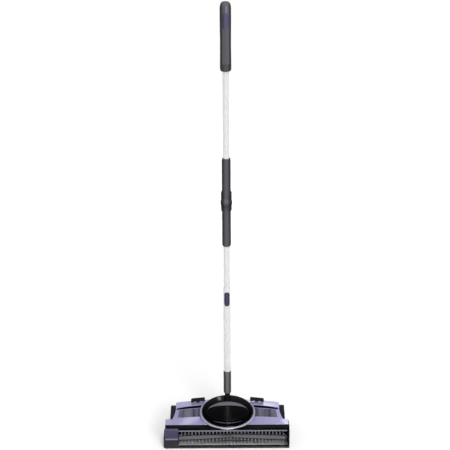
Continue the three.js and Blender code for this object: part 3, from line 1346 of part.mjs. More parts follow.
function grip() {
  const bore = bar("z", MIDDLE_TUBE_R + SLIP, GRIP_LENGTH, [0, FOLD_OFFSET, GRIP_BOTTOM - FIT], FACETS);
  return cut(gripForm(0), bore, padBlock(FIT));
}

const gripPad = () => gripForm(PAD_PROUD).intersect(padBlock(0));

// The domed cap with a plug in the end of the grip.
function gripCap() {
  const base = GRIP_R - WALL / 4;
  const steps = 5;
  const straight = GRIP_CAP_LENGTH - base;
  const rings = Array.from({ length: steps }, (_, i) => {
    const turn = (Math.PI / 2) * (i / steps);
    return [straight + base * Math.sin(turn), base * Math.cos(turn)];
  });
  const end = GRIP_BOTTOM + GRIP_BODY_LENGTH;
  return joined(
    tower([[FIT, base], ...rings, [GRIP_CAP_LENGTH, base / 8]], [0, FOLD_OFFSET, end]),
    bar("z", MIDDLE_TUBE_R - FIT, GRIP_PLUG + 2 * FIT, [0, FOLD_OFFSET, end - GRIP_PLUG], FACETS),
  );
}

// A named mesh with its finish, added to a group.
function add(group, name, finish, made, position = [0, 0, 0]) {
  const [color, roughness, metalness] = FINISHES[finish];
  const material = new THREE.MeshStandardMaterial({ color, roughness, metalness });
  const mesh = new THREE.Mesh(geometryOf(made), material);
  mesh.name = name;
  mesh.position.set(...position);
  group.add(mesh);
  return mesh;
}

// A group inside another, at a place of its own.
function subgroup(parent, position) {
  const group = new THREE.Group();
  group.position.set(...position);
  parent.add(group);
  return group;
}

// Covers and fixed pieces of the head.
function addHousing(head) {
  add(head, "chassis", "blackPlastic", chassis());
  add(head, "front_window", "clear", frontWindow());
  add(head, "drive_cover", "purple", driveCover());
  add(head, "front_lip", "blackPlastic", frontLip());
  add(head, "deck_cover", "lavender", deckCover());
  add(head, "rear_cover", "blackPlastic", rearCover());
  add(head, "dome", "glossBlack", dome());
  add(head, "dome_plate", "glossBlack", domePlate());
  add(head, "dome_trim", "silver", domeTrim());
  for (const [word, side] of [["left", -1], ["right", 1]]) {
    add(head, `dust_window_${word}`, "smoke", dustWindow(side));
    add(head, `side_cover_${word}`, "blackPlastic", sideCover(side));
  }
  SCREW_XS.forEach((x, i) =>
    add(head, `cover_screw_${i + 1}`, "steel", coverScrew(), [x, at(SCREW_SETBACK), UNDERSIDE + SLIP / 2]),
  );
}

// Motor, battery, switch and socket.
function addPower(head) {
  add(head, "motor", "steel", motor(), [-WELL_OUTER + FIT, at(MOTOR_SETBACK), MOTOR_Z]);
  add(head, "motor_pulley", "darkPlastic", motorPulley(), [BELT_X, at(MOTOR_SETBACK), MOTOR_Z]);
  add(head, "drive_belt", "rubber", driveBelt());
  const half = BATTERY_SIDE / 2;
  const side = outline([-1, 1].flatMap((u) => [-u, u].map((v) => [u * half, v * half, BATTERY_CORNER])));
  const place = [BATTERY_LEFT + half, at(REAR_BAY_FRONT) + FIT, FLOOR_TOP + SLIP + half];
  add(head, "battery_pack", "battery", pushed("y", side, 0, BATTERY_LENGTH), place);
  add(head, "power_switch", "darkPlastic", powerSwitch(), [-PEDAL_X, at(PEDAL_SETBACK), SWITCH_BASE]);
  add(head, "charge_socket", "blackPlastic", chargeSocket(), [SOCKET_X, at(HEAD_DEPTH), SOCKET_Z]);
}

// The brush with its tufts, pulley and bushes.
function addBrush(head) {
  const brush = subgroup(head, [0, at(BRUSH_SETBACK), BRUSH_Z]);
  add(brush, "brush_core", "core", brushCore());
  for (let row = 0; row < TUFT_ROWS; row++) add(brush, `brush_tufts_${row + 1}`, "bristle", tuftRow(row));
  add(brush, "brush_pulley", "darkPlastic", pulley(BRUSH_PULLEY_R, SHAFT_R + SLIP), [BELT_X, 0, 0]);
  add(brush, "brush_bush_left", "steel", bush(DRIVE_INNER_WALL), [BAY_LEFT - DRIVE_INNER_WALL, 0, 0]);
  add(brush, "brush_bush_right", "steel", bush(END_WALL - WALL), [BAY_RIGHT, 0, 0]);
}

// Wheels, rollers and axles.
function addWheels(head) {
  const axleLength = WELL_OUTER - WELL_INNER + 2 * WALL - FIT;
  for (const [word, side] of [["left", -1], ["right", 1]]) {
    const wheel = subgroup(head, [side * WHEEL_X, at(REAR_WHEEL_SETBACK), REAR_WHEEL_R]);
    add(wheel, `rear_wheel_${word}`, "darkPlastic", wheelHub());
    add(wheel, `rear_tyre_${word}`, "rubber", wheelTyre());
    add(wheel, `rear_axle_${word}`, "steel", bar("x", REAR_AXLE_R, axleLength, [-axleLength / 2, 0, 0]));
    const roller = joined(
      bar("x", ROLLER_R, ROLLER_WIDTH, [-ROLLER_WIDTH / 2, 0, 0], FACETS),
      bar("x", ROLLER_PIN_R, ROLLER_WIDTH + WALL, [-(ROLLER_WIDTH + WALL) / 2, 0, 0]),
    );
    add(head, `front_roller_${word}`, "darkPlastic", roller, [side * ROLLER_X, at(ROLLER_SETBACK), ROLLER_R]);
  }
}

// Pedals with their springs, the dust door, its latch and the floor wiper.
function addControls(head) {
  const coilFoot = SLIP - SPRING_WELL;
  const coilHeight = PEDAL_RISE - SPRING_SEAT - SLIP - coilFoot;
  for (const [word, name, side] of [["left", "power_pedal", -1], ["right", "bin_pedal", 1]]) {
    const place = subgroup(head, [side * PEDAL_X, at(PEDAL_SETBACK), PEDAL_SKIN]);
    add(place, name, "blackPlastic", pedal(side));
    add(place, `pedal_spring_${word}`, "steel", pedalSpring(coilHeight), [0, 0, coilFoot]);
  }
  const hinge = [0, at(DOOR_HINGE_SETBACK), UNDERSIDE + DOOR_HINGE_R];
  add(head, "bin_door", "darkPlastic", binDoor(), hinge);
  add(head, "bin_latch", "darkPlastic", binLatch());
  add(head, "floor_wiper", "rubber", wiperBlock(0, 0));
}

// The handle on the neck's pivot, and its folding upper half.
function addHandle(head) {
  const handle = subgroup(head, [0, at(NECK_SETBACK), NECK_Z]);
  const pinHalf = EAR_END + SLIP;
  const pin = headedPin(NECK_PIN_R, 2 * pinHalf, NECK_PIN_R + WALL / 2, WALL / 2);
  add(handle, "neck_pin", "steel", pin);
  add(handle, "neck_yoke", "blackPlastic", neckYoke());
  add(handle, "neck_socket", "grip", neckSocket(), [0, 0, NECK_STEM + SLIP]);
  add(handle, "lower_tube", "tube", lowerTube());
  add(handle, "middle_tube", "tube", middleTube());
  add(handle, "release_button", "purple", releaseButton());
  const fold = subgroup(handle, [0, -FOLD_OFFSET, FOLD_Z]);
  add(fold, "lower_fold_socket", "grip", lowerFoldSocket());
  const foldPin = headedPin(FOLD_PIN_R, 2 * (EAR_OUTER + SLIP), FOLD_PIN_HEAD_R, FOLD_PIN_HEAD);
  add(fold, "fold_pin", "steel", foldPin);
  add(fold, "fold_button", "grip", foldButton());
  add(fold, "upper_fold_socket", "grip", upperFoldSocket());
  add(fold, "upper_tube", "tube", upperTube());
  add(fold, "grip", "grip", grip());
  add(fold, "grip_pad", "purple", gripPad());
  add(fold, "grip_cap", "grip", gripCap());
}

const sweeper = new THREE.Group();
sweeper.position.x = DRIVE_OVERHANG;
addHousing(sweeper);
addPower(sweeper);
addBrush(sweeper);
addWheels(sweeper);
addControls(sweeper);
addHandle(sweeper);

export default sweeper;
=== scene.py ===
"""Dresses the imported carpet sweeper: a wide head with a brush behind a clear window, and a folding tube handle.

Lengths in the classes are millimetres unless a name says otherwise; meshes are made in metres in the frame of
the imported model, on the floor with the head's front towards -Y.
"""

from __future__ import annotations

import json
import logging
import math
from dataclasses import dataclass
from enum import Enum
from typing import Callable, Iterable, Optional, Sequence, Union

import bmesh
import bpy
from mathutils import Matrix, Vector
from mathutils.bvhtree import BVHTree


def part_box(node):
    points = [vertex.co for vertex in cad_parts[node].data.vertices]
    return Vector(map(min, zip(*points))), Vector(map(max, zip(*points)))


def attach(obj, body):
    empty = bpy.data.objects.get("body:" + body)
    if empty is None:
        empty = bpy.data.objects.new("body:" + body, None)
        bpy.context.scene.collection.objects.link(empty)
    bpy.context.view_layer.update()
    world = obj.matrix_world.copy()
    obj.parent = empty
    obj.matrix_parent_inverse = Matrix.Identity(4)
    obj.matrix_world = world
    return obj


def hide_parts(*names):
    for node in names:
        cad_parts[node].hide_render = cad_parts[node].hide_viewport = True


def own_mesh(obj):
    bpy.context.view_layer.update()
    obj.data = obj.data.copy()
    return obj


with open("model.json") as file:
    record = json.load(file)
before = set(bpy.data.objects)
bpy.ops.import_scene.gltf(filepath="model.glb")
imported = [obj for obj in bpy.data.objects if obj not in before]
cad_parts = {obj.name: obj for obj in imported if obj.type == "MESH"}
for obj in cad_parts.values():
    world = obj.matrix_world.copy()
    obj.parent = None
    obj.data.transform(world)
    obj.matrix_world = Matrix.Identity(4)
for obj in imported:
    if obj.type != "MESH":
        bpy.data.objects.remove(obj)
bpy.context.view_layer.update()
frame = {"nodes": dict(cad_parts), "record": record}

MM = 0.001
WELD = 1e-6
FLAT_LIMIT = math.radians(0.6)
SHARP_LIMIT = math.radians(38)
NOISE_LOW, NOISE_HIGH = 0.33, 0.67
SHADE_SPOTS = 35.0
WEAR_SPOTS = 28.0
FLAKE_SPOTS = 0.35
COAT_ROUGHNESS = 0.06
STEP_RELIEF, STEP_STRENGTH = 0.25, 0.6

log = logging.getLogger("sweeper")


class Slot(Enum):
    """The record's material slots."""

    BLACK_PLASTIC = "black_plastic"
    DARK_PLASTIC = "dark_plastic"
    LAVENDER = "lavender"
    PURPLE = "purple"
    CLEAR_WINDOW = "clear_window"
    SMOKE_WINDOW = "smoke_window"
    GLOSS_BLACK = "gloss_black"
    SILVER_TRIM = "silver_trim"
    STEEL = "steel"
    TUBE = "tube"
    GRIP = "grip"
    RUBBER = "rubber"
    TYRE = "tyre"
    CORE = "core"
    BRISTLE = "bristle"
    BATTERY_WRAP = "battery_wrap"


class Side(Enum):
    """The two sides of the head, seen from the front."""

    LEFT = -1
    RIGHT = 1

    @property
    def word(self) -> str:
        """The side as it stands in the names of nodes."""
        return self.name.lower()


BODY_OF = {
    node: body
    for body, nodes in frame["record"]["behaviour"]["bodies"].items()
    for node in nodes
}
SLOT_OF = {part["node"]: Slot(part["material_slot"]) for part in frame["record"]["subparts"]}

SOCKETS = {
    "colour": "Base Color",
    "roughness": "Roughness",
    "metallic": "Metallic",
    "alpha": "Alpha",
    "specular": "Specular IOR Level",
    "coat": "Coat Weight",
    "coat_roughness": "Coat Roughness",
    "normal": "Normal",
}
Colour = tuple[int, int, int]
Value = Union[float, Sequence[float], bpy.types.NodeSocket]


def linear(colour: Colour, share: float = 1.0, lift: float = 0.0) -> tuple[float, float, float, float]:
    """Turns a display colour into the linear one that a shader takes.

    Args:
        colour: red, green and blue from 0 to 255.
        share: what each linear value is multiplied by.
        lift: what is then added to it, up to 1.

    Returns:
        Linear red, green and blue, and an alpha of 1.
    """
    parts = [c / 255 for c in colour]
    parts = [c / 12.92 if c <= 0.04045 else ((c + 0.055) / 1.055) ** 2.4 for c in parts]
    r, g, b = [min(1.0, c * share + lift) for c in parts]
    return (r, g, b, 1.0)


class Tree:
    """A node tree, of a material or of the world, and the nodes that it is built from."""

    def __init__(self, tree: bpy.types.NodeTree) -> None:
        """Clears the tree."""
        self.tree = tree
        self.tree.nodes.clear()

    def feed(self, node: bpy.types.Node, inputs: dict) -> bpy.types.Node:
        """Gives a node's inputs their values.

        Args:
            node: the node.
            inputs: values or output sockets, by the input's name or index.

        Returns:
            The node.
        """
        for key, value in inputs.items():
            if isinstance(value, bpy.types.NodeSocket):
                self.tree.links.new(value, node.inputs[key])
            else:
                node.inputs[key].default_value = value
        return node

    def add(self, kind: str, inputs: Optional[dict] = None, **settings: object) -> bpy.types.Node:
        """Adds a node.

        Args:
            kind: the node's type.
            inputs: values or output sockets for its inputs, by name or index.
            settings: the node's own settings.

        Returns:
            The new node.
        """
        node = self.tree.nodes.new(kind)
        for key, value in settings.items():
            setattr(node, key, value)
        return self.feed(node, inputs or {})

    def mixed(self, share: Value, first: Value, second: Value) -> Value:
        """Returns a colour between two, by a share from 0 to 1."""
        return self.add("ShaderNodeMix", {0: share, 6: first, 7: second}, data_type="RGBA").outputs[2]

    def counted(self, how: str, *values: Value) -> Value:
        """Returns the result of a math node on one or two values."""
        return self.add("ShaderNodeMath", dict(enumerate(values)), operation=how).outputs[0]

    def seen(self) -> Value:
        """Returns 1 for a ray that shows the surroundings to the camera, straight, mirrored or through glass."""
        path = self.add("ShaderNodeLightPath").outputs
        straight = self.counted("MAXIMUM", path["Is Camera Ray"], path["Is Glossy Ray"])
        straight = self.counted("MAXIMUM", straight, path["Is Transmission Ray"])
        return self.counted("MULTIPLY", straight, self.counted("LESS_THAN", path["Diffuse Depth"], 0.5))


class Board(Tree):
    """The node tree of one material, with its principled shader already joined to the output."""

    def __init__(self, name: str) -> None:
        """Starts a material.

        Args:
            name: the material's name.
        """
        self.material = bpy.data.materials.new(name)
        self.material.use_nodes = True
        super().__init__(self.material.node_tree)
        self.shader = self.add("ShaderNodeBsdfPrincipled")
        self.add("ShaderNodeOutputMaterial", {"Surface": self.shader.outputs["BSDF"]})
        self.place = self.add("ShaderNodeTexCoord").outputs["Object"]

    def dress(self, **inputs: Value) -> None:
        """Gives the shader's inputs their values or output sockets, by the short names in SOCKETS."""
        self.feed(self.shader, {SOCKETS[key]: value for key, value in inputs.items()})

    def mapped(self, **inputs: Sequence[float]) -> Value:
        """Returns Object coordinates, moved by Location or scaled by Scale."""
        return self.add("ShaderNodeMapping", {"Vector": self.place, **inputs}).outputs["Vector"]

    def noise(self, grain: float, detail: float = 2.0, vector: Optional[Value] = None) -> Value:
        """Returns noise from 0 to 1.

        Args:
            grain: the size of its spots in millimetres.
            detail: how many finer layers it has.
            vector: the coordinates, or None for Object coordinates.

        Returns:
            The noise node's value output.
        """
        inputs = {"Vector": vector or self.place, "Scale": 1 / (grain * MM), "Detail": detail}
        return self.add("ShaderNodeTexNoise", inputs).outputs["Fac"]

    def ranged(self, value: Value, low: float, high: float) -> Value:
        """Returns a 0 to 1 value spread from low to high, with its middle third stretched."""
        inputs = {"Value": value, "From Min": NOISE_LOW, "From Max": NOISE_HIGH, "To Min": low, "To Max": high}
        return self.add("ShaderNodeMapRange", inputs).outputs["Result"]

    def worn(self, middle: float, low: float = 0.88, high: float = 1.12, spots: float = 9.0) -> Value:
        """Returns a roughness that varies in spots of that many millimetres about its middle."""
        return self.ranged(self.noise(spots, 3), middle * low, middle * high)

    def stepped(self, value: Value, low: float, high: float, **settings: object) -> Value:
        """Returns 0 below a value in millimetres, 1 above another, and a ramp between."""
        inputs = {"Value": value, "From Min": low * MM, "From Max": high * MM}
        return self.add("ShaderNodeMapRange", inputs, **settings).outputs["Result"]

    def bumped(
        self, height: Value, depth: float, strength: float = 1.0, under: Optional[Value] = None
    ) -> Value:
        """Returns a normal bent by a height.

        Args:
            height: the height from 0 to 1.
            depth: what a height of 1 is in millimetres.
            strength: the bump's strength.
            under: the normal of a coarser bump below it.

        Returns:
            The bump node's normal.
        """
        inputs: dict = {"Height": height, "Distance": depth * MM, "Strength": strength}
        if under is not None:
            inputs["Normal"] = under
        return self.add("ShaderNodeBump", inputs).outputs["Normal"]


@dataclass(frozen=True)
class Finish:
    """What a piece is made of.

    Attributes:
        name: the material's name.
        colour: its main display colour.
    """

    name: str
    colour: Colour

    def material(self) -> bpy.types.Material:
        """Returns the material, made once."""
        if self.name not in bpy.data.materials:
            self.paint(Board(self.name))
        return bpy.data.materials[self.name]

    def paint(self, board: Board) -> None:
        """Dresses the material's shader."""
        raise NotImplementedError


@dataclass(frozen=True)
class Moulding(Finish):
    """Moulded plastic, plain, lacquered or with metal flakes, with a fine grain and faint shade changes.

    Attributes:
        roughness: the middle of its roughness.
        coat: how strong its clear lacquer is.
        metallic: how metallic it is.
        grain: the grain's size in millimetres.
        depth: the grain's depth in millimetres.
        mottle: how far its shade varies.
        flake: how far small metal flakes lighten it.
        shine: the shader's specular level.
    """

    roughness: float = 0.4
    coat: float = 0.0
    metallic: float = 0.0
    grain: float = 0.5
    depth: float = 0.02
    mottle: float = 0.06
    flake: float = 0.0
    shine: float = 0.5

    def paint(self, board: Board) -> None:
        """Mixes two shades and the flakes, and adds the lacquer and the grain.

        Args:
            board: the material's nodes.
        """
        deep, pale = linear(self.colour, 1 - self.mottle), linear(self.colour, 1 + self.mottle)
        tone = board.mixed(board.noise(SHADE_SPOTS, 3), deep, pale)
        if self.flake > 0:
            spark = linear(self.colour, 1 + self.flake, self.flake * 0.1)
            tone = board.mixed(board.ranged(board.noise(FLAKE_SPOTS, 1), 0.0, 1.0), tone, spark)
        board.dress(
            colour=tone,
            roughness=board.worn(self.roughness),
            metallic=self.metallic,
            specular=self.shine,
            coat=self.coat,
            coat_roughness=COAT_ROUGHNESS,
            normal=board.bumped(board.noise(self.grain, 2), self.depth),
        )


@dataclass(frozen=True)
class Overmould(Finish):
    """A band of a second colour along one axis, with a fine step bumped between the two: a real second colour on
    the base, while on the handle's pieces the lighter middle and darker sides are painted light and shade.

    Attributes:
        inner: the display colour inside the band; the main colour is outside it.
        centre: where the band's middle lies along the axis, in millimetres.
        half: half the band's width.
        soft: how far the step between them reaches.
        axis: "X", "Y" or "Z".
        roughness: the middle of its roughness.
        shine: the shader's specular level.
        grain: the grain's size in millimetres.
        depth: the grain's depth.
    """

    inner: Colour
    centre: float = 3.0
    half: float = 8.0
    soft: float = 1.0
    axis: str = "X"
    roughness: float = 0.5
    shine: float = 0.25
    grain: float = 0.6
    depth: float = 0.03

    def paint(self, board: Board) -> None:
        """Sets the two colours side by side, painted light and shade on the handle's pieces, and adds the step and
        the grain.

        Args:
            board: the material's nodes.
        """
        parts = board.add("ShaderNodeSeparateXYZ", {"Vector": board.place})
        away = board.counted("ABSOLUTE", board.counted("SUBTRACT", parts.outputs[self.axis], self.centre * MM))
        # the band: on the handle's pieces its lighter middle is painted light and its darker sides painted shade
        step = board.stepped(away, self.half, self.half + self.soft, interpolation_type="SMOOTHSTEP")
        tone = board.mixed(step, linear(self.inner), linear(self.colour))
        worn = board.mixed(board.noise(WEAR_SPOTS, 3), linear(self.inner, 0.86), tone)
        grain = board.bumped(board.noise(self.grain, 2), self.depth)
        board.dress(
            colour=board.mixed(board.ranged(board.noise(WEAR_SPOTS, 3), 0.75, 1.0), worn, tone),
            roughness=board.worn(self.roughness),
            specular=self.shine,
            normal=board.bumped(step, STEP_RELIEF, STEP_STRENGTH, grain),
        )


@dataclass(frozen=True)
class DrawnMetal(Finish):
    """Metal, bare or painted, drawn along one axis, with fine lines along it.

    Attributes:
        roughness: its roughness.
        metallic: how metallic it is.
        lengthways: the drawing axis, 0, 1 or 2.
    """

    roughness: float = 0.25
    metallic: float = 1.0
    lengthways: int = 2

    def paint(self, board: Board) -> None:
        """Draws fine lines in the colour, the roughness and the relief.

        Args:
            board: the material's nodes.
        """
        scale = [0.02 if axis == self.lengthways else 1.0 for axis in range(3)]
        lines = board.noise(0.7, 3, board.mapped(Scale=scale))
        board.dress(
            colour=board.mixed(lines, linear(self.colour, 0.96), linear(self.colour)),
            roughness=board.ranged(lines, self.roughness * 0.85, self.roughness * 1.15),
            metallic=self.metallic,
            normal=board.bumped(lines, 0.004),
        )


@dataclass(frozen=True)
class ClearPlastic(Finish):
    """Thin see-through plastic with faint smears, and lighter streaks along X that are a painted reflection.

    Attributes:
        cover: how much of what lies behind it hides, from 0 to 1.
        streak: the display colour of its painted reflection streaks.
        flute: the streaks' spacing in millimetres, 0 for none.
        roughness: its roughness.
        shine: the shader's specular level.
    """

    cover: float = 0.15
    streak: Colour = (255, 255, 255)
    flute: float = 0.0
    roughness: float = 0.08
    shine: float = 0.5

    def paint(self, board: Board) -> None:
        """Mixes the veil and its painted reflection streaks, and adds the smears.

        Args:
            board: the material's nodes.
        """
        tone = board.mixed(board.noise(30, 2), linear(self.colour, 0.9), linear(self.colour))
        # lighter streaks along X: a painted reflection of lights in the window
        if self.flute > 0:
            share = board.ranged(board.noise(self.flute, 2, board.mapped(Scale=(1.0, 0.08, 0.08))), 0.0, 0.75)
            tone = board.mixed(share, tone, linear(self.streak))
        board.dress(
            colour=tone,
            roughness=board.worn(self.roughness, 0.7, 1.4, 14.0),
            alpha=self.cover,
            specular=self.shine,
            normal=board.bumped(board.noise(22, 1), 0.03),
        )


@dataclass(frozen=True)
class Rubber(Finish):
    """Matt rubber with dust in its grain.

    Attributes:
        dust: the display colour of the dust.
    """

    dust: Colour = (92, 90, 88)

    def paint(self, board: Board) -> None:
        """Lays dust on the rubber and adds the grain.

        Args:
            board: the material's nodes.
        """
        worn = board.ranged(board.noise(5, 5), 0.0, 0.22)
        board.dress(
            colour=board.mixed(worn, linear(self.colour), linear(self.dust)),
            roughness=board.ranged(board.noise(3, 4), 0.7, 0.92),
            normal=board.bumped(board.noise(0.4, 3), 0.05),
        )


@dataclass(frozen=True)
class Bristle(Finish):
    """Nylon bristles, darker at the brush's core and paler to their tips; the darker roots are painted shade where
    the bristles crowd.

    Attributes:
        tip: the display colour at the tips.
        axis_y: where the brush's axis lies on Y.
        axis_z: where the brush's axis lies on Z.
        core: the core's radius.
        reach: the tips' radius.
    """

    tip: Colour
    axis_y: float
    axis_z: float
    core: float
    reach: float

    def paint(self, board: Board) -> None:
        """Grades the colour by the distance from the brush's axis, painting shade towards the roots.

        Args:
            board: the material's nodes.
        """
        root = linear(self.colour)
        middle = board.mapped(Location=(0, -self.axis_y * MM, -self.axis_z * MM), Scale=(0, 1, 1))
        out = board.add("ShaderNodeVectorMath", {0: middle}, operation="LENGTH").outputs["Value"]
        # darker towards the core: painted shade among the crowded bristle roots
        tone = board.mixed(board.stepped(out, self.core, self.reach), root, linear(self.tip))
        pale = board.mixed(board.noise(1.2, 2), root, tone)
        board.dress(
            colour=board.mixed(board.ranged(board.noise(2.5, 2), 0.6, 1.0), pale, tone),
            roughness=0.45,
            normal=board.bumped(board.noise(0.3, 2), 0.03),
        )


BLACK = Moulding("moulded_black", (7, 7, 9), grain=0.45, mottle=0.12, shine=0.04)
BASE = Overmould("base_mouldings", (56, 55, 60), (8, 8, 10), 185.0, 315.4, 0.1, shine=0.05)
DARK = Moulding("moulded_dark_grey", (19, 19, 27), 0.5, depth=0.03, mottle=0.08, shine=0.07)
SIDE_DARK = Moulding("side_cover_grey", (30, 29, 34), 0.6, depth=0.03, mottle=0.08, shine=0.03)
LAVENDER_PAINT = Moulding("lavender_lacquer", (148, 143, 188), 0.34, coat=0.6, metallic=0.2, grain=0.4,
                          depth=0.004, mottle=0.03, flake=0.08)
PURPLE_PAINT = Moulding("purple_lacquer", (60, 54, 84), 0.32, coat=0.25, metallic=0.1, grain=0.4, depth=0.005,
                        mottle=0.04, flake=0.06, shine=0.2)
# the pad's lighter band right of the middle is a painted highlight and its darker edges painted shade
PURPLE_PAD_PAINTED_HIGHLIGHT = Overmould("purple_satin", (58, 52, 78), (84, 78, 110), 4.6, 3.6, 3.2, roughness=0.42, shine=0.3)
# the button's darker edges are painted shade and its lighter middle painted light
BUTTON_PURPLE_SHADED_EDGES = Overmould("button_purple", (26, 20, 50), (64, 58, 98), 3.0, 0.6, 4.0, roughness=0.3, shine=0.4)
GLOSS = Moulding("dome_gloss_black", (3, 3, 4), 0.08, grain=40.0, depth=0.01, mottle=0.1, shine=0.22)
PLATE_BLACK = Moulding("plate_black", (6, 6, 8), 0.22, grain=30.0, depth=0.01, mottle=0.1, shine=0.2)
SILVER = Moulding("silver_trim_lacquer", (176, 175, 194), 0.26, coat=0.5, metallic=0.45, grain=0.3, depth=0.004,
                  mottle=0.03, flake=0.12)
# graphite grey: its own colour on the tray ledge; on the dome's two crescents a painted highlight
GRAPHITE = Moulding("graphite_inlay", (118, 121, 132), 0.36, coat=0.2, metallic=0.5, grain=0.3, depth=0.01,
                    mottle=0.04)
# the window bead's light grey is a painted highlight of the window's rounded top edge
BEAD_HIGHLIGHT_GREY = Moulding("window_bead_grey", (122, 123, 132), coat=0.1, metallic=0.1, grain=0.3, depth=0.01, shine=0.2)
# the fold's darker sides are painted shade and its lighter middle band painted light from the front
JOINT_GREY_SHADED_SIDES = Overmould("joint_grey", (30, 30, 34), (88, 90, 96), 3.0, 2.0, 8.5, shine=0.12)
# the neck socket's darker sides are painted shade and its lighter middle painted light from the front
NECK_GREY_SHADED_SIDES = Overmould("neck_grey", (34, 34, 36), (112, 112, 113), 3.0, 1.0, 8.0, roughness=0.45, shine=0.15)
# grip and cap: the lighter front band is partly the grip's soft insert; the darker sides are painted shade
GRIP_GREY_SHADED_SIDES = Overmould("grip_two_tone", (30, 30, 35), (92, 91, 96), 3.4, 6.8, 5.0, roughness=0.55, shine=0.15)
# the collar is a darker grey of its own; its still darker sides are painted shade
COLLAR_GREY_SHADED_SIDES = Overmould("grip_collar", (24, 24, 28), (74, 74, 78), 3.4, 4.0, 7.0, roughness=0.4)
# the cap inlay's lighter colour and its brighter stripe right of the middle are a painted highlight
CAP_INLAY_PAINTED_HIGHLIGHT = Overmould("cap_inlay", (70, 69, 82), (112, 111, 128), 5.6, 1.6, 3.0, roughness=0.38, shine=0.4)
CORE_GREY = Moulding("brush_core_grey", (118, 119, 124), 0.5, grain=0.8, shine=0.2)
BATTERY = Moulding("battery_wrap", (54, 122, 84), 0.3, 0.2, grain=6.0, depth=0.05, mottle=0.08)
STEEL = DrawnMetal("bright_steel", (200, 200, 204), 0.24, lengthways=0)
SPRING_STEEL = DrawnMetal("spring_steel", (182, 182, 188), 0.28)
TUBE_METAL = DrawnMetal("tube_silver_paint", (230, 230, 231), 0.26, metallic=0.5)
STRIP = Moulding("tuft_strip", (44, 44, 48), 0.6, depth=0.03, mottle=0.1, shine=0.1)
CLEAR = ClearPlastic("clear_window_plastic", (14, 14, 16), 0.1, roughness=0.06, shine=0.3)
# the smoked windows' lighter streaks are a painted reflection
SMOKE = ClearPlastic("smoked_window_plastic", (66, 65, 80), 0.86, (124, 125, 144), 11.0, 0.12, 0.3)
RUBBER = Rubber("black_rubber", (26, 26, 28))
TYRE = Rubber("tyre_rubber", (34, 34, 36))
# the bristles' darker root colour is painted shade
BRISTLE = Bristle("nylon_bristle", (196, 196, 204), (240, 240, 246), -75.0, 20.5, core=10.0, reach=20.0)


def spread(low: float, high: float, count: int) -> list[float]:
    """Returns count + 1 evenly spaced values from low to high."""
    return [low + (high - low) * i / count for i in range(count + 1)]


def placed(name: str, data: bpy.types.ID) -> bpy.types.Object:
    """Puts an object in the scene.

    Args:
        name: its name.
        data: its mesh, lamp or camera.

    Returns:
        The object.
    """
    item = bpy.data.objects.new(name, data)
    bpy.context.scene.collection.objects.link(item)
    return item


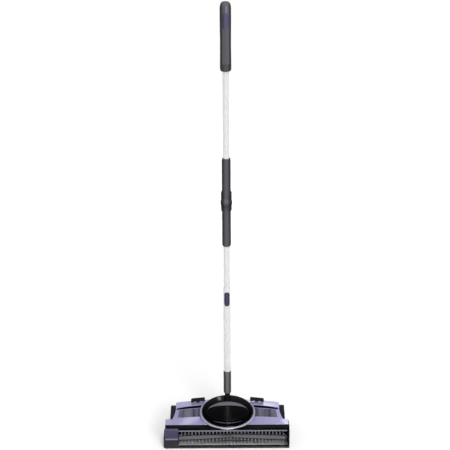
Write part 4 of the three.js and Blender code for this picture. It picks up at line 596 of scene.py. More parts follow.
class Form:
    """A mesh in the making, in metres in the model's frame."""

    def __init__(self) -> None:
        """Starts empty."""
        self.mesh = bmesh.new()

    @classmethod
    def of_node(cls, node: str, flat: bool = True) -> "Form":
        """Copies a CAD node's mesh with its loose triangles merged.

        Args:
            node: the node's name.
            flat: whether triangles that lie in one plane become one face.

        Returns:
            The form.
        """
        form = cls()
        form.mesh.from_mesh(frame["nodes"][node].data)
        bmesh.ops.remove_doubles(form.mesh, verts=form.mesh.verts, dist=WELD)
        if flat:
            verts, edges = form.mesh.verts, form.mesh.edges
            bmesh.ops.dissolve_limit(form.mesh, angle_limit=FLAT_LIMIT, verts=verts, edges=edges,
                                     use_dissolve_boundaries=False)
        return form

    @classmethod
    def turned(cls, profile: Sequence[tuple[float, float]], steps: int, closed: bool = False) -> "Form":
        """Spins a section about the Z axis.

        Args:
            profile: radius and height of each point in millimetres, in order.
            steps: how many faces go round.
            closed: whether the last point joins the first.

        Returns:
            The form, with its normals outwards.
        """
        form = cls()
        mesh = form.mesh
        points = [mesh.verts.new((r * MM, 0, h * MM)) for r, h in profile]
        following = points[1:] + (points[:1] if closed else [])
        edges = [mesh.edges.new(pair) for pair in zip(points, following)]
        bmesh.ops.spin(mesh, geom=points + edges, cent=(0, 0, 0), axis=(0, 0, 1), angle=math.tau, steps=steps,
                       use_merge=True)
        return form.weld()

    @classmethod
    def lofted(cls, sections: Sequence[Sequence[Sequence[float]]]) -> "Form":
        """Bridges a row of closed sections into one skin and fills both ends.

        Args:
            sections: the corners of each section in millimetres, the same number in each.

        Returns:
            The form, with its normals outwards.
        """
        form = cls()
        mesh = form.mesh
        loops = []
        for section in sections:
            corners = [mesh.verts.new(Vector(corner) * MM) for corner in section]
            loops.append([mesh.edges.new(pair) for pair in zip(corners, corners[1:] + corners[:1])])
        for first, second in zip(loops, loops[1:]):
            bmesh.ops.bridge_loops(mesh, edges=first + second)
        for loop in (loops[0], loops[-1]):
            bmesh.ops.contextual_create(mesh, geom=loop)
        bmesh.ops.recalc_face_normals(mesh, faces=mesh.faces)
        return form

    @classmethod
    def band(
        cls, outer: Sequence[Sequence[float]], inner: Sequence[Sequence[float]], thickness: float
    ) -> "Form":
        """Makes a thin closed band between two lines of points.

        Args:
            outer: the points of one edge in millimetres.
            inner: as many points of the other edge.
            thickness: how thick the band is, downwards from the points.

        Returns:
            The form.
        """
        form = cls()
        mesh = form.mesh
        corners = [mesh.verts.new(Vector(corner) * MM) for corner in outer]
        edges = [mesh.edges.new(pair) for pair in zip(corners, corners[1:])]
        made = bmesh.ops.extrude_edge_only(mesh, edges=edges)["geom"]
        fresh = [item for item in made if isinstance(item, bmesh.types.BMVert)]
        targets = {tuple(round(c, 9) for c in corner.co): spot for corner, spot in zip(corners, inner)}
        for vert in fresh:
            vert.co = Vector(targets[tuple(round(c, 9) for c in vert.co)]) * MM
        return form.weld().thicken(thickness)

    def weld(self) -> "Form":
        """Merges points that lie together, turns the faces outwards and returns the form."""
        bmesh.ops.remove_doubles(self.mesh, verts=self.mesh.verts, dist=WELD)
        bmesh.ops.recalc_face_normals(self.mesh, faces=self.mesh.faces)
        return self

    def thicken(self, thickness: float) -> "Form":
        """Turns a sheet's faces up and makes it solid.

        Args:
            thickness: how thick it becomes, downwards.

        Returns:
            The form.
        """
        faces = self.mesh.faces
        bmesh.ops.recalc_face_normals(self.mesh, faces=faces)
        if sum(face.normal.z for face in faces) < 0:
            bmesh.ops.reverse_faces(self.mesh, faces=faces)
        bmesh.ops.solidify(self.mesh, geom=faces, thickness=thickness * MM)
        bmesh.ops.recalc_face_normals(self.mesh, faces=faces)
        return self

    def round_edges(
        self,
        width: float = 0.6,
        segments: int = 2,
        angle: float = 30.0,
        chosen: Optional[Callable[[bmesh.types.BMEdge], bool]] = None,
    ) -> "Form":
        """Bevels the sharp edges.

        Args:
            width: the bevel's width in millimetres.
            segments: faces across it.
            angle: edges sharper than this many degrees are taken.
            chosen: a further test of an edge.

        Returns:
            The form.
        """
        limit = math.radians(angle)
        edges = [
            e for e in self.mesh.edges
            if e.is_manifold and e.calc_face_angle(0.0) > limit and (chosen is None or chosen(e))
        ]
        bmesh.ops.bevel(self.mesh, geom=edges, offset=width * MM, offset_type="OFFSET", segments=segments,
                        profile=0.5, affect="EDGES", clamp_overlap=False, material=-1)
        return self

    def turn(self, axis: str, degrees: float) -> "Form":
        """Turns the form about an axis through the origin, and returns it."""
        turning = Matrix.Rotation(math.radians(degrees), 3, axis)
        bmesh.ops.rotate(self.mesh, verts=self.mesh.verts, cent=(0, 0, 0), matrix=turning)
        return self

    def move(self, x: float, y: float, z: float) -> "Form":
        """Moves the form by millimetres, and returns it."""
        bmesh.ops.translate(self.mesh, verts=self.mesh.verts, vec=Vector((x, y, z)) * MM)
        return self

    def stretch(self, x: float, y: float, z: float) -> "Form":
        """Scales the form about the origin, and returns it."""
        bmesh.ops.scale(self.mesh, verts=self.mesh.verts, vec=(x, y, z))
        return self

    def take(self, other: "Form") -> "Form":
        """Adds another form's mesh to this one.

        Args:
            other: the other form, which is used up.

        Returns:
            The form.
        """
        held = bpy.data.meshes.new("held")
        other.mesh.to_mesh(held)
        self.mesh.from_mesh(held)
        bpy.data.meshes.remove(held)
        other.mesh.free()
        return self

    def object(
        self,
        name: str,
        body: str,
        slot: Slot,
        finish: Finish,
        stands_for: Sequence[str] = (),
        sharp: float = SHARP_LIMIT,
        weighted: bool = True,
    ) -> bpy.types.Object:
        """Makes the object, with its finish, on the body that carries it.

        Args:
            name: the piece's name.
            body: the CAD body it rides on.
            slot: the record's material slot.
            finish: what it is made of.
            stands_for: the CAD nodes that it replaces.
            sharp: edges sharper than this angle stay sharp.
            weighted: whether large faces keep their own normals.

        Returns:
            The object.
        """
        mesh = bpy.data.meshes.new(name)
        for face in self.mesh.faces:
            face.smooth = True
        self.mesh.to_mesh(mesh)
        self.mesh.free()
        mesh.set_sharp_from_angle(angle=sharp)
        mesh.materials.append(finish.material())
        piece = placed(name, mesh)
        if weighted:
            modifier = piece.modifiers.new("even_shading", "WEIGHTED_NORMAL")
            modifier.keep_sharp = True
            modifier.weight = 60
        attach(piece, body)
        if stands_for:
            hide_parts(*stands_for)
        log.info("%s: %d faces on %s", name, len(mesh.polygons), body)
        return piece

    def stand_for(self, node: str, finish: Finish, sharp: float = SHARP_LIMIT) -> bpy.types.Object:
        """Makes the object that replaces a CAD node, on the node's body and in its slot."""
        return self.object(f"{node}_form", BODY_OF[node], SLOT_OF[node], finish, (node,), sharp)


def carried(
    node: str, finish: Finish, width: float = 0.6, segments: int = 2, angle: float = 30.0
) -> bpy.types.Object:
    """Replaces a CAD node by a copy of its shape with rounded edges.

    Args:
        node: the node's name.
        finish: what it is made of.
        width: how wide its edges are rounded, in millimetres.
        segments: faces across a rounding.
        angle: edges sharper than this many degrees are rounded.

    Returns:
        The new piece.
    """
    return Form.of_node(node).round_edges(width, segments, angle).stand_for(node, finish)


@dataclass
class Studio:
    """The plain floor, the soft light and the camera at the photograph's angle.

    Attributes:
        floor_half: half the floor's side in metres.
        floor_colour: its display colour.
        floor_bounce: the share of light that it throws back on the object.
        ambient: how bright the world is for the light on the object.
        room: height from 0 to 1, and brightness, of each stop of the graded room that glossy pieces mirror.
        suns: each wide front light's strength, degrees from the zenith and degrees to the right.
        sun_spread: how wide they are, in degrees.
        back_lights: azimuth to the right of straight behind, elevation, width, height and brightness of each
            light behind the head; the first four in degrees.
        back_distance: how far behind they hang, in metres.
        lens: the camera's lens in millimetres.
        place: where the camera stands, in metres.
        pitch: how far the camera is turned up from looking straight down, in degrees.
        roll: how far it leans, in degrees.
    """

    floor_half: float = 12.0
    floor_colour: Colour = (254, 254, 254)
    floor_bounce: float = 0.34
    ambient: float = 0.42
    room: tuple[tuple[float, float], ...] = (
        (0.0, 1.0), (0.38, 1.0), (0.48, 0.3), (0.66, 0.12), (0.78, 0.04), (1.0, 0.04)
    )
    suns: tuple[tuple[float, float, float], ...] = ((1.35, 66.0, 20.0), (1.65, 30.0, 10.0))
    sun_spread: float = 20.0
    back_lights: tuple[tuple[float, float, float, float, float], ...] = (
        (8.0, 24.0, 18.0, 6.0, 3.8),
        (-5.2, 33.5, 1.6, 6.5, 3.2),
    )
    back_distance: float = 3.0
    lens: float = 151.152
    place: tuple[float, float, float] = (-0.001, -4.6935, 2.3143)
    pitch: float = 70.0
    roll: float = -0.33

    def build(self) -> None:
        """Makes the floor, world, lamps and camera."""
        bpy.context.scene.view_settings.view_transform = "Standard"
        self.make_floor()
        self.make_world()
        self.make_lamps()
        self.make_camera()

    def make_floor(self) -> None:
        """Lays the floor, which isn't part of the object and throws little light back on it."""
        form = Form()
        bmesh.ops.create_grid(form.mesh, x_segments=1, y_segments=1, size=self.floor_half)
        mesh = bpy.data.meshes.new("studio_floor")
        form.mesh.to_mesh(mesh)
        form.mesh.free()
        board = Board("studio_floor_paint")
        tone = board.mixed(board.noise(400, 2), linear(self.floor_colour, 0.995), linear(self.floor_colour))
        bounce = (self.floor_bounce, self.floor_bounce, self.floor_bounce, 1.0)
        board.dress(colour=board.mixed(board.seen(), bounce, tone), roughness=0.9, specular=0.1)
        mesh.materials.append(board.material)
        floor = placed("studio_floor", mesh)

    def make_world(self) -> None:
        """Sets a world that is white for the camera, a graded room for reflections and even for the light."""
        world = bpy.data.worlds.new("studio_world")
        bpy.context.scene.world = world
        world.use_nodes = True
        tree = Tree(world.node_tree)
        way = tree.add("ShaderNodeTexCoord").outputs["Generated"]
        height = tree.add("ShaderNodeSeparateXYZ", {"Vector": way}).outputs["Z"]
        graded = tree.add("ShaderNodeValToRGB", {"Fac": height})
        ramp = graded.color_ramp
        while len(ramp.elements) < len(self.room):
            ramp.elements.new(0.5)
        for element, (spot, level) in zip(ramp.elements, self.room):
            element.position = spot
            element.color = (level, level, level, 1)
        glossy = tree.add("ShaderNodeLightPath").outputs["Is Glossy Ray"]
        mirrored = tree.mixed(glossy, (1, 1, 1, 1), graded.outputs["Color"])
        plain = (self.ambient, self.ambient, self.ambient, 1)
        back = tree.add("ShaderNodeBackground", {"Color": tree.mixed(tree.seen(), plain, mirrored)})
        tree.add("ShaderNodeOutputWorld", {"Surface": back.outputs["Background"]})

    def make_lamps(self) -> None:
        """Hangs the wide front lights, one low and one high, and the panels behind."""
        for number, (strength, tilt, turn) in enumerate(self.suns):
            name = f"front_light_{number + 1}"
            data = bpy.data.lights.new(name, "SUN")
            data.energy = strength
            data.angle = math.radians(self.sun_spread)
            placed(name, data).rotation_euler = (math.radians(tilt), 0, math.radians(turn))
        for number, light in enumerate(self.back_lights):
            self.hang_back_light(f"back_light_{number + 1}", *light)

    def hang_back_light(
        self, name: str, azimuth: float, elevation: float, width: float, height: float, level: float
    ) -> None:
        """Hangs one soft panel behind the head, which its glossy covers mirror.

        Args:
            name: the lamp's name.
            azimuth: degrees to the right of straight behind.
            elevation: degrees above the head.
            width: its width in degrees.
            height: its height in degrees.
            level: how bright it looks, where 1 is white.
        """
        data = bpy.data.lights.new(name, "AREA")
        data.shape = "RECTANGLE"
        data.size = self.back_distance * math.radians(width)
        data.size_y = self.back_distance * math.radians(height)
        data.energy = level * data.size * data.size_y * math.pi
        side, up = math.radians(azimuth), math.radians(elevation)
        way = Vector((math.sin(side) * math.cos(up), math.cos(side) * math.cos(up), math.sin(up)))
        lamp = placed(name, data)
        lamp.location = Vector((0.0, 0.0, 0.07)) + way * self.back_distance
        lamp.rotation_euler = (-way).to_track_quat("-Z", "Y").to_euler()
        lamp.visible_camera = False

    def make_camera(self) -> None:
        """Stands the camera at the photograph's viewing angle."""
        data = bpy.data.cameras.new("photo_camera")
        data.lens = self.lens
        data.sensor_width = 36.0
        data.clip_end = 60.0
        camera = placed("photo_camera", data)
        pitch = Matrix.Rotation(math.radians(self.pitch), 4, "X")
        roll = Matrix.Rotation(math.radians(self.roll), 4, "Z")
        camera.matrix_world = Matrix.Translation(Vector(self.place)) @ pitch @ roll
        bpy.context.scene.camera = camera


@dataclass(frozen=True)
class HeadShape:
    """The head's top surface, as the CAD has it.

    Attributes:
        profile: distance behind the front edge, and height, of each bend along the middle.
        crown: how far the deck falls at its sides.
        reach: how far out it has fallen that far.
        half_depth: half the head's depth.
    """

    profile: tuple[tuple[float, float], ...] = (
        (6.0, 57.0), (24.0, 59.0), (66.0, 64.5), (108.0, 72.0), (115.0, 70.5), (116.0, 77.0),
        (150.0, 76.0), (158.0, 61.0), (192.5, 44.5), (200.0, 38.5),
    )
    crown: float = 12.0
    reach: float = 156.0
    half_depth: float = 100.0

    def top(self, x: float, y: float) -> float:
        """Returns the height of the surface at a place.

        Args:
            x: the place on X.
            y: the place on Y.

        Returns:
            Its height in millimetres.
        """
        behind = y + self.half_depth
        for (s0, z0), (s1, z1) in zip(self.profile, self.profile[1:]):
            if behind <= s1:
                break
        middle = z0 + (z1 - z0) * (behind - s0) / (s1 - s0)
        rise = min(max((behind - 24) / (116 - 24), 0.0), 1.0)
        fade = min(max((192.5 - behind) / (192.5 - 150), 0.0), 1.0)
        return middle - self.crown * rise * fade * ((x - 3) / self.reach) ** 2


HEAD = HeadShape()


@dataclass
class Housing:
    """The base, the covers and the windows of the head.

    Attributes:
        fine: the rounding of thin and small covers.
        seal_inner: where a groove's seal starts beside the dome.
        seal_outer: where it ends at the deck's side.
        seal_height: how high it covers the riser.
    """

    fine: float = 0.45
    seal_inner: float = 60.0
    seal_outer: float = 139.0
    seal_height: float = 5.4

    def build(self) -> None:
        """Makes the base, the deck with its seals, the front, the sides, the dust windows and the screws."""
        carried("chassis", BASE, self.fine)
        carried("deck_cover", LAVENDER_PAINT, self.fine)
        carried("rear_cover", LAVENDER_PAINT, self.fine)
        for side in Side:
            self.make_seal(side)
        self.make_front()
        for side in Side:
            carried(f"side_cover_{side.word}", SIDE_DARK, 1.4, 3)
        for side in Side:
            carried(f"dust_window_{side.word}", SMOKE, 0.3)
        for number in range(1, 5):
            carried(f"cover_screw_{number}", STEEL, 0.15)

    def make_seal(self, side: Side) -> None:
        """The seal that fills the groove and covers the riser behind it, thinner towards the deck's side.

        Args:
            side: which window it lies behind.
        """
        sections = []
        for share in spread(0, 1, 14):
            x = 3 + side.value * (self.seal_inner + (self.seal_outer - self.seal_inner) * share)
            floor = HEAD.top(x, 14.9)
            tall = self.seal_height * (1 - 0.45 * share ** 3)
            section = [(9.0, HEAD.top(x, 9.0) - 0.5), (9.0, HEAD.top(x, 9.0) + 0.35), (14.6, floor + 0.5),
                       (15.2, floor + tall), (16.4, floor + tall + 0.3), (16.4, floor - 0.5)]
            sections.append([(x, y, z) for y, z in section])
        form = Form.lofted(sections)
        form.object(f"groove_seal_{side.word}", "head", Slot.BLACK_PLASTIC, BLACK, sharp=math.radians(25))

    def make_front(self) -> None:
        """The clear window, the black lip over it and the cover of the belt drive."""
        carried("front_window", CLEAR, 0.3)
        carried("front_lip", BLACK, 0.8, 3)
        carried("drive_cover", PURPLE_PAINT, 1.2, 3)
        for strip in (
            # a sill of the base that also stands in for shade: its black hides the lit floor seen under the brush
            ("bay_sill", (-129.0, 163.0), (-99.3, -88.2), (2.6, 4.2), Slot.DARK_PLASTIC, BLACK),
            # the grey bead paints the highlight along the clear window's top edge
            ("window_bead", (-129.0, 163.0), (-100.7, -100.05), (50.6, 54.0), Slot.DARK_PLASTIC, BEAD_HIGHLIGHT_GREY),
            ("tray_ledge", (-165.4, -131.0), (-101.0, -99.9), (25.6, 30.2), Slot.DARK_PLASTIC, GRAPHITE),
            # a rubber skirt along the front's foot, whose black line also stands in for the shadow under the front
            # edge
            ("floor_skirt", (-165.4, 169.4), (-100.7, -99.4), (0.7, 5.6), Slot.RUBBER, RUBBER),
        ):
            self.make_strip(*strip)

    def make_strip(
        self,
        name: str,
        along: tuple[float, float],
        deep: tuple[float, float],
        tall: tuple[float, float],
        slot: Slot,
        finish: Finish,
    ) -> None:
        """A thin bead across the front, with a groove along its middle and rounded edges.

        Args:
            name: the piece's name.
            along: its ends on X.
            deep: its front and back on Y.
            tall: its bottom and top on Z.
            slot: the record's material slot.
            finish: what it is made of.
        """
        (y0, y1), (z0, z1) = deep, tall
        groove = (z0 + z1) / 2
        side = [(y1, z0), (y0 + 0.2, z0), (y0, z0 + 0.3), (y0, groove - 0.35), (y0 + 0.25, groove),
                (y0, groove + 0.35), (y0, z1 - 0.3), (y0 + 0.2, z1), (y1, z1)]
        form = Form.lofted([[(x, y, z) for y, z in side] for x in spread(*along, 12)])
        form.object(name, "head", slot, finish, sharp=math.radians(50))


@dataclass
class Dome:
    """The glossy dome on the deck with its bare oval plate and its crescent of trim.

    Attributes:
        radius: the dome's radius.
        tilt: how far it leans to the front, in radians.
        rise: the crown of its cap.
        edge: the rounding between cap and skirt.
        skirt: the height of the skirt before it is fitted to the deck.
        wall: the shell's thickness.
        centre: where its middle lies.
        plate_half: half width and half depth of the plate.
        plate_forward: how far the plate's middle lies before the dome's.
        plate_raise: how proud the plate stands.
        plate_rings: the plate's rings of points, as shares of its half width.
        gap: the space kept under and between the pieces.
        inlay: how thick the painted-highlight crescents are.
        steps: faces round the dome.
    """

    radius: float = 70.5
    tilt: float = 0.227
    rise: float = 7.0
    edge: float = 3.0
    skirt: float = 40.0
    wall: float = 2.5
    centre: tuple[float, float, float] = (3.0, -25.5, 76.87)
    plate_half: tuple[float, float] = (57.0, 40.0)
    plate_forward: float = 9.0
    plate_raise: float = 1.8
    plate_rings: tuple[float, ...] = (0, 0.25, 0.5, 0.7, 0.85, 0.95, 1.0)
    gap: float = 0.4
    inlay: float = 0.5
    steps: int = 96

    def build(self) -> None:
        """Makes the dome, its plate and its trim."""
        self.make_shell()
        self.make_plate()
        carried("dome_trim", SILVER, 0.5, 3)

    def settle(self, form: Form) -> Form:
        """Tilts a form that was made about the dome's middle and sets it on the deck."""
        return form.turn("X", math.degrees(self.tilt)).move(*self.centre)

    def make_shell(self) -> None:
        """The shell, with its skirt let down to the deck."""
        flat = self.radius - self.edge
        cap = []
        for i in range(19):
            r = flat * math.cos(math.pi / 2 * i / 18) if i < 18 else 0.0
            cap.append((r, self.rise * (1 - (r / flat) ** 2)))
        edge = []
        for i in range(1, 6):
            turn = math.pi / 2 * i / 6
            edge.append((flat + self.edge * math.cos(turn), -self.edge + self.edge * math.sin(turn)))
        profile = [(self.radius, -self.skirt), (self.radius, -self.edge), *edge, *cap]
        form = Form.turned(profile, self.steps)
        low = [v for v in form.mesh.verts if v.co.z < -(self.skirt - 1) * MM]
        self.settle(form)
        self.fit_to_deck(low)
        piece = form.object("dome_shell", "head", Slot.GLOSS_BLACK, GLOSS, ("dome",), math.radians(60), False)
        wall = piece.modifiers.new("wall", "SOLIDIFY")
        wall.thickness = self.wall * MM
        wall.offset = -1

    def fit_to_deck(self, low: Iterable[bmesh.types.BMVert]) -> None:
        """Moves the skirt's lowest points along the dome's axis to just above the deck and lip.

        Args:
            low: those points.
        """
        trees = []
        for node in ("deck_cover", "front_lip"):
            part = bmesh.new()
            part.from_mesh(frame["nodes"][node].data)
            trees.append(BVHTree.FromBMesh(part))
            part.free()
        up = Vector((0, -math.sin(self.tilt), math.cos(self.tilt)))
        for vert in low:
            start = vert.co + up * 0.1
            found = [hit[0] for hit in (tree.ray_cast(start, -up) for tree in trees) if hit[0] is not None]
            if found:
                best = max(found, key=lambda spot: spot.dot(up))
                vert.co = best + up * self.gap * 1.6 * MM
            else:
                vert.co = vert.co + up * (self.skirt - 12) * MM

    def crown(self, x: float, y: float) -> float:
        """Returns how high the dome's cap stands over its rim at a place in the dome's own frame."""
        flat = self.radius - self.edge
        return self.rise * (1 - (x * x + y * y) / flat ** 2)

    def oval(self, angle: float, inset: float, squeeze: float = 1.0) -> tuple[float, float]:
        """Returns a point of the plate's outline, drawn in, in the dome's own frame.

        Args:
            angle: the angle round the outline in radians, 0 at the right.
            inset: how far it is drawn in.
            squeeze: how much flatter the outline is about the plate's middle.

        Returns:
            X and Y in millimetres.
        """
        half_x, half_y = self.plate_half
        return (
            (half_x - inset) * math.cos(angle),
            (half_y - inset) * squeeze * math.sin(angle) - self.plate_forward,
        )

    def make_plate(self) -> None:
        """The bare plate, crowned like the dome, with a graphite crescent on its rear and a graphite line before
        it on the dome, both painted highlights of the plate's edges.
        """
        form = Form.turned([(share, 0) for share in self.plate_rings], self.steps)
        form.stretch(self.plate_half[0], self.plate_half[1], 1).move(0, -self.plate_forward, 0)
        for vert in form.mesh.verts:
            vert.co.z = (self.crown(vert.co.x / MM, vert.co.y / MM) + self.plate_raise) * MM
        form.thicken(self.plate_raise - self.gap).round_edges(0.9, 4, 50)
        self.settle(form).object("badge_plate", "head", Slot.BLACK_PLASTIC, PLATE_BLACK, ("dome_plate",))
        # the crescent on the plate's rear paints the highlight on the plate's top edge
        self.make_crescent("plate_crescent", inset=2.2, squeeze=0.55, start=16, end=164, raised=0.25)
        # the line on the dome before the plate paints the highlight on the plate's front edge
        self.make_crescent("dome_line", inset=-6.6, squeeze=1.04, start=232, end=308, raised=-1.5)

    def make_crescent(
        self, name: str, inset: float, squeeze: float, start: float, end: float, raised: float
    ) -> None:
        """A thin graphite crescent, a painted highlight, between the plate's outline moved in by the inset and a
        flatter one.

        Args:
            name: the piece's name.
            inset: how far its outer edge is drawn in.
            squeeze: how much flatter its inner edge is.
            start: the angle at which it starts, in degrees.
            end: the angle at which it ends.
            raised: how far it stands over the plate.
        """
        outer, inner = [], []
        for share in spread(0, 1, 40):
            angle = math.radians(start + (end - start) * share)
            taper = max(math.sin(math.pi * share), 0.0) ** 0.6
            x, y = self.oval(angle, inset)
            x2, y2 = self.oval(angle, inset, 1 - (1 - squeeze) * max(taper, 0.02))
            outer.append((x, y, self.crown(x, y) + self.plate_raise + raised))
            inner.append((x2, y2, self.crown(x2, y2) + self.plate_raise + raised))
        self.settle(Form.band(outer, inner, self.inlay)).object(name, "head", Slot.SILVER_TRIM, GRAPHITE)


@dataclass
class BrushRoll:
    """The brush: a core and four V-shaped rows of bristle tufts.

    Attributes:
        axis: where the axis lies on Y and Z.
        root: the radius at which the bristles leave their backing.
        reach: the tips' radius.
        start: the left end of the rows.
        end: the right end of the rows.
        tufts: tufts in a row.
        strands: bristles along and across a tuft.
        bristle: a bristle's radius.
        first: the angle of the first row from straight up to the front at the middle, in radians.
        sweep: how far a row turns from the brush's middle to its ends, in radians.
        splay: how far the outer bristles of a tuft lean, in radians.
    """

    axis: tuple[float, float] = (-75.0, 20.5)
    root: float = 10.4
    reach: float = 19.7
    start: float = -126.6
    end: float = 159.0
    tufts: int = 30
    strands: tuple[int, int] = (4, 4)
    bristle: float = 0.28
    first: float = -0.35
    sweep: float = 0.96
    splay: float = 0.04

    def build(self) -> None:
        """Makes the core, the tufts, the pulley and the bushes."""
        carried("brush_core", CORE_GREY, 0.4)
        for row in range(4):
            self.make_row(row)
        carried("brush_pulley", DARK, 0.3)
        for side in Side:
            carried(f"brush_bush_{side.word}", STEEL, 0.3)

    def angle_at(self, row: int, share: float) -> float:
        """Returns a row's angle from straight up to the front, in radians, at a share of its length."""
        return self.first + math.tau * row / 4 + self.sweep * abs(2 * share - 1)

    def spot(self, x: float, radius: float, angle: float) -> tuple[float, float, float]:
        """Returns the point at an angle round the brush."""
        y, z = self.axis
        return (x, y - radius * math.sin(angle), z + radius * math.cos(angle))

    def make_row(self, row: int) -> None:
        """One row of tufts on its backing strip.

        Args:
            row: the row's number from 0.
        """
        length = self.end - self.start
        sections = []
        for share in spread(0, 1, 24):
            x, middle = self.start + length * share, self.angle_at(row, share)
            corners = [(9.15, -0.2), (10.3, -0.2), (10.75, -0.1), (10.75, 0.1), (10.3, 0.2), (9.15, 0.2)]
            sections.append([self.spot(x, radius, middle + turn) for radius, turn in corners])
        strip = Form.lofted(sections)
        strip.object(f"row_strip_{row + 1}", "brush", Slot.BRISTLE, STRIP)
        form = Form()
        along, across = self.strands
        for tuft in range(self.tufts):
            share = (tuft + 0.5) / self.tufts
            for i in range(along):
                for k in range(across):
                    u = (i - (along - 1) / 2) / ((along - 1) / 2)
                    v = (k - (across - 1) / 2) / ((across - 1) / 2)
                    wobble = 0.4 * math.sin(12.9 * tuft + 7.1 * i + 3.7 * k + row)
                    x = self.start + length * share + 0.9 * u + 0.1 * wobble
                    turn = self.angle_at(row, share) + 0.06 * v
                    reach = self.reach + 0.3 * wobble - 0.3
                    self.add_bristle(form, x, turn, u * self.splay, v * self.splay, reach)
        node = f"brush_tufts_{row + 1}"
        form.object(f"bristle_row_{row + 1}", "brush", Slot.BRISTLE, BRISTLE, (node,), weighted=False)

    def add_bristle(self, form: Form, x: float, turn: float, lean_x: float, lean_y: float, reach: float) -> None:
        """Adds one bristle to a row.

        Args:
            form: the row.
            x: where it stands along the brush.
            turn: its angle round the brush.
            lean_x: how far it leans along the brush.
            lean_y: how far it leans round the brush.
            reach: its tip's radius.
        """
        long = reach - self.root
        y, z = self.axis
        place = (
            Matrix.Translation(Vector((x, y, z)) * MM)
            @ Matrix.Rotation(turn, 4, "X")
            @ Matrix.Translation(Vector((0, 0, self.root)) * MM)
            @ Matrix.Rotation(lean_x, 4, "Y")
            @ Matrix.Rotation(lean_y, 4, "X")
            @ Matrix.Translation(Vector((0, 0, long / 2)) * MM)
        )
        bmesh.ops.create_cone(
            form.mesh, cap_ends=True, segments=5, radius1=self.bristle * MM, radius2=self.bristle * 0.7 * MM,
            depth=long * MM, matrix=place,
        )


@dataclass
class Drive:
    """The motor, the belt, the battery, the switch and the charging socket.

    Attributes:
        fine: the rounding of their edges.
    """

    fine: float = 0.4

    def build(self) -> None:
        """Makes each piece of the drive."""
        carried("motor", STEEL, self.fine)
        carried("motor_pulley", STEEL, 0.2)
        carried("drive_belt", RUBBER, 0.2)
        carried("battery_pack", BATTERY, self.fine)
        carried("power_switch", BLACK, self.fine)
        carried("charge_socket", BLACK, 0.3)


@dataclass
class Wheels:
    """The rear wheels and the front rollers.

    Attributes:
        fine: the rounding of their edges.
        rim: a tyre's inner radius.
        grooves: how many grooves run round its tread.
        pitch: their spacing.
    """

    fine: float = 0.5
    rim: float = 13.0
    grooves: int = 4
    pitch: float = 2.6

    def build(self) -> None:
        """Makes both wheels and both rollers."""
        for side in Side:
            carried(f"rear_wheel_{side.word}", DARK, self.fine)
            self.make_tyre(side)
            carried(f"rear_axle_{side.word}", STEEL, 0.2)
            carried(f"front_roller_{side.word}", DARK, 0.3)

    def make_tyre(self, side: Side) -> None:
        """One rear tyre with grooves round its tread.

        Args:
            side: which side it is on.
        """
        node = f"rear_tyre_{side.word}"
        low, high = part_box(node)
        outer = (high[2] - low[2]) / 2 / MM
        half = (high[0] - low[0]) / 2 / MM
        profile = [(self.rim, -half + 0.4), (outer - 1.4, -half), (outer - 0.3, -half + 0.7),
                   (outer, -half + 1.5)]
        for number in range(self.grooves):
            middle = (number - (self.grooves - 1) / 2) * self.pitch
            profile += [(outer, middle - 0.75), (outer - 0.7, middle - 0.45), (outer - 0.7, middle + 0.45),
                        (outer, middle + 0.75)]
        profile += [(outer, half - 1.5), (outer - 0.3, half - 0.7), (outer - 1.4, half), (self.rim, half - 0.4)]
        form = Form.turned(profile, 72, closed=True).turn("Y", 90)
        form.move(*[(a + b) / 2 / MM for a, b in zip(low, high)]).stand_for(node, TYRE, math.radians(35))


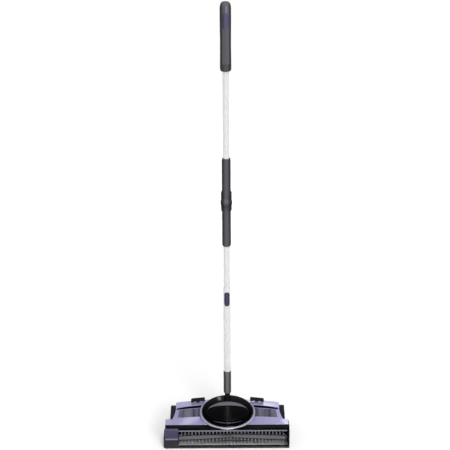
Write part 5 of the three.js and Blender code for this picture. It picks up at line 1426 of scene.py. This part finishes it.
@dataclass
class Pedals:
    """The two foot pedals on their springs.

    Attributes:
        middle: the head's middle on X.
        out: how far a pedal's stem is from it.
        back: where the stems are on Y.
        half: half a plate's width and half its depth.
        rise: the plate's underside over the deck.
        lean: how far a plate leans outwards, in degrees.
        front: a plate's thickness in front at its ends.
        rear: its thickness at the back.
        thin: its thickness in front at its middle.
        hollow: how far its front edge is drawn in at the middle.
        travel: how far a pedal goes down; not used.
    """

    middle: float = 3.0
    out: float = 81.0
    back: float = 37.0
    half: tuple[float, float] = (19.0, 10.0)
    rise: float = 4.0
    lean: float = 5.73
    front: float = 3.0
    rear: float = 5.0
    thin: float = 1.1
    hollow: float = 3.4
    travel: float = 3.05

    def build(self) -> None:
        """Makes both pedals and springs."""
        self.make_pedal(Side.LEFT, "power_pedal")
        self.make_pedal(Side.RIGHT, "bin_pedal")
        self.make_spring("pedal_spring_left")
        self.make_spring("pedal_spring_right")

    def make_spring(self, node: str) -> None:
        """A pedal's spring: the CAD's coil, copied onto a mesh of its own.

        Args:
            node: the CAD node that it replaces.
        """
        form = Form.of_node(node, flat=False)
        piece = form.object(f"{node}_coil", BODY_OF[node], Slot.STEEL, SPRING_STEEL, (node,), weighted=False)
        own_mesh(piece)

    def make_plate(self) -> Form:
        """Returns a plate about its stem: arched underneath, drawn in at the front and ribbed on top."""
        wide, deep = self.half
        sections = []
        for i, x in enumerate(spread(-wide, wide, 26)):
            share = (x / wide) ** 2
            close = 1 - 0.25 * share ** 6
            front = -deep * close + self.hollow * (1 - share)
            back = deep * close
            under = self.front - (self.thin + (self.front - self.thin) * share)
            top = self.front - 0.4
            rib = 0.35 if i % 4 == 2 else 0.0
            sections.append([
                (x, front, under), (x, front - 0.3, under + 0.5), (x, front - 0.2, top - 0.4),
                (x, front + 0.5, top), (x, front + 3.5, top + 0.5 + rib), (x, back - 4.0, self.rear - 0.7 + rib),
                (x, back - 1.0, self.rear), (x, back, self.rear - 0.8), (x, back, 1.0), (x, back - 1.0, 0.2),
                (x, 0, under * 0.5),
            ])
        return Form.lofted(sections).round_edges(0.35, 2, 60)

    def make_pedal(self, side: Side, node: str) -> None:
        """One pedal: the CAD's stem under a fresh plate.

        Args:
            side: which side it is on.
            node: the CAD node that it replaces.
        """
        x = self.middle + side.value * self.out
        z = HEAD.top(x, self.back) + self.rise
        lean = side.value * self.lean
        form = Form.of_node(node).move(-x, -self.back, -z).turn("Y", -lean)
        everything = form.mesh.verts[:] + form.mesh.edges[:] + form.mesh.faces[:]
        cut = bmesh.ops.bisect_plane(
            form.mesh, geom=everything, plane_co=(0, 0, -0.1 * MM), plane_no=(0, 0, 1), clear_outer=True,
        )
        rim = [item for item in cut["geom_cut"] if isinstance(item, bmesh.types.BMEdge)]
        bmesh.ops.edgenet_fill(form.mesh, edges=rim)
        bmesh.ops.recalc_face_normals(form.mesh, faces=form.mesh.faces)
        form.take(self.make_plate())
        form.turn("Y", lean).move(x, self.back, z)
        form.object(f"{node}_form", BODY_OF[node], Slot.DARK_PLASTIC, DARK, (node,))


@dataclass
class DustBay:
    """The door under the dust bay, its latch and the floor wiper.

    Attributes:
        fine: the rounding of their edges.
    """

    fine: float = 0.5

    def build(self) -> None:
        """Makes the door, the latch and the wiper."""
        carried("bin_door", BLACK, self.fine)
        carried("bin_latch", DARK, self.fine)
        carried("floor_wiper", RUBBER, 0.3)


@dataclass
class Handle:
    """The handle: neck, socket, three tubes, the fold and the grip.

    Attributes:
        fine: the rounding of the small edges.
        axis: where the handle's axis lies on X and Y.
        radius: the grip's radius.
        facet: half the width of the grip's two front facets.
        fall: how much further back a facet lies at its outer edge than at the seam.
        split: the height of the joint between grip and cap.
        foot: the height at which the cap's dome starts.
        top: its highest point.
        pad: the bottom and top of the thumb pad.
        around: points round a section of the grip.
        shoulder: edges above this height are the shoulders of the fold's upper half.
    """

    fine: float = 0.6
    axis: tuple[float, float] = (3.0, 62.0)
    radius: float = 14.9
    facet: float = 10.0
    fall: float = 4.4
    split: float = 1164.0
    foot: float = 1174.0
    top: float = 1194.0
    pad: tuple[float, float] = (1125.6, 1163.2)
    around: int = 72
    shoulder: float = 765.0

    def build(self) -> None:
        """Makes the handle from the neck up."""
        carried("neck_pin", STEEL, 0.3)
        carried("neck_yoke", BLACK, self.fine)
        carried("neck_socket", NECK_GREY_SHADED_SIDES, self.fine, 3)
        carried("lower_tube", TUBE_METAL, 0.25)
        carried("middle_tube", TUBE_METAL, 0.25)
        carried("release_button", BUTTON_PURPLE_SHADED_EDGES, self.fine, 3)
        carried("lower_fold_socket", JOINT_GREY_SHADED_SIDES, 1.0, 3)
        self.make_upper_socket()
        carried("fold_pin", DARK, 0.3)
        carried("fold_button", BLACK, self.fine, 3)
        carried("upper_tube", TUBE_METAL, 0.25)
        self.make_grip()
        self.make_cap()
        self.make_pad()

    def make_upper_socket(self) -> None:
        """The fold's upper half, with round shoulders at its top."""
        node = "upper_fold_socket"
        form = Form.of_node(node)
        form.round_edges(3.4, 5, 30, lambda edge: min(vert.co.z for vert in edge.verts) > self.shoulder * MM)
        form.round_edges(0.8, 2, 35, lambda edge: max(vert.co.z for vert in edge.verts) < self.shoulder * MM)
        form.stand_for(node, JOINT_GREY_SHADED_SIDES)

    def section(self, z: float, radius: float) -> list[tuple[float, float, float]]:
        """Returns one section of the grip, round behind and with two facets in front.

        Args:
            z: its height.
            radius: its radius.

        Returns:
            The points round it in millimetres.
        """
        x0, y0 = self.axis
        share = radius / self.radius
        points = []
        for i in range(self.around):
            angle = math.tau * i / self.around
            x, y = radius * math.sin(angle), -radius * math.cos(angle)
            if y < 0:
                slope = self.fall * abs(x) / self.facet
                groove = 0.8 * max(0.0, 1 - abs(x) / 1.3)
                y = max(y, -radius + slope * share + groove)
            points.append((x0 + x, y0 + y, z))
        return points

    def skin(self, z: float) -> float:
        """Returns the grip's radius at a height.

        Args:
            z: the height.

        Returns:
            The radius in millimetres.
        """
        r = self.radius
        if z <= self.foot:
            waist = min(max((z - 1030.0) / 110.0, 0.0), 1.0)
            return r - 0.55 * math.sin(math.pi * waist) ** 2
        turn = math.asin(min((z - self.foot) / (self.top - self.foot), 1.0))
        return r * max(math.cos(turn), 0.01) ** 0.42

    def loft(self, heights: Sequence[tuple[float, float]]) -> Form:
        """Returns a stretch of the grip from each section's height and how far it is drawn in."""
        return Form.lofted([self.section(z, self.skin(z) - inset) for z, inset in heights])

    def make_grip(self) -> None:
        """The grip's body and the collar at its foot."""
        body = [(1029.3, 0.9), (1029.9, 0.3), (1031.2, 0.0)]
        body += [(1036.0 + 10.0 * i, 0.0) for i in range(13)]
        body += [(self.split - 0.7, 0.0), (self.split - 0.15, 0.5)]
        self.loft(body).stand_for("grip", GRIP_GREY_SHADED_SIDES, math.radians(28))
        collar = [(1010.0, 4.6), (1010.5, 2.2), (1011.8, 0.9), (1014.0, 0.1), (1017.0, -0.2), (1027.0, -0.2),
                  (1028.2, 0.1), (1028.8, 0.9)]
        self.loft(collar).object("grip_collar", BODY_OF["grip"], SLOT_OF["grip"], COLLAR_GREY_SHADED_SIDES)

    def make_cap(self) -> None:
        """The domed cap with its inlay, whose lighter colour and brighter stripe right of the middle are a painted
        highlight.
        """
        rows = [(self.split + 0.15, 0.6), (self.split + 0.6, 0.1), (self.foot, 0.0)]
        for i in range(1, 17):
            turn = math.pi / 2 * i / 16.2
            rows.append((self.foot + (self.top - self.foot) * math.sin(turn), 0.0))
        self.loft(rows).stand_for("grip_cap", GRIP_GREY_SHADED_SIDES, math.radians(28))
        form = self.shield(self.split + 1.2, self.top - 8.5, 6.4, 0.45, 0.5)
        form.object("cap_inlay", BODY_OF["grip_cap"], SLOT_OF["grip_cap"], CAP_INLAY_PAINTED_HIGHLIGHT)

    def make_pad(self) -> None:
        """The purple thumb pad, bent over both facets; its lighter band right of the middle is a painted highlight
        and its darker edges painted shade.
        """
        self.shield(*self.pad, self.facet - 1.4, 0.15, 0.5).stand_for("grip_pad", PURPLE_PAD_PAINTED_HIGHLIGHT, math.radians(40))

    def shield(self, low: float, high: float, half: float, narrow: float, proud: float) -> Form:
        """Returns a soft-edged plate that is bent over both facets of the grip.

        Args:
            low: its bottom.
            high: its top.
            half: half its width.
            narrow: how much narrower it is at its ends, from 0 to 1.
            proud: how far it stands off them.

        Returns:
            The form.
        """
        sections = []
        for along in spread(0, 1, 18):
            z = low + (high - low) * along
            middle = 1 - abs(2 * along - 1)
            wide = half * (1 - narrow * (1 - min(1.0, 3 * middle)) ** 2)
            ease = min(1.0, 6 * middle)
            share = self.skin(z) / self.radius
            points = []
            for x in spread(-wide, wide, 16):
                y = -self.skin(z) + self.fall * abs(x) / self.facet * share + 0.5 * max(0.0, 1 - abs(x) / 1.2)
                edge = min(1.0, (1 - abs(x) / wide) * 5)
                points.append((self.axis[0] + x, self.axis[1] + y - proud * edge * ease, z))
            points += [(x, y + 2.0, z) for x, y, z in reversed(points)]
            sections.append(points)
        return Form.lofted(sections)


def main() -> None:
    """Builds the sweeper and the studio."""
    logging.basicConfig(level=logging.INFO, format="%(name)s: %(message)s")
    for part in (Housing(), Dome(), BrushRoll(), Drive(), Wheels(), Pedals(), DustBay(), Handle()):
        log.info("building the %s", type(part).__name__)
        part.build()
    Studio().build()
    log.info("boxes written")


if __name__ == "__main__":
    main()
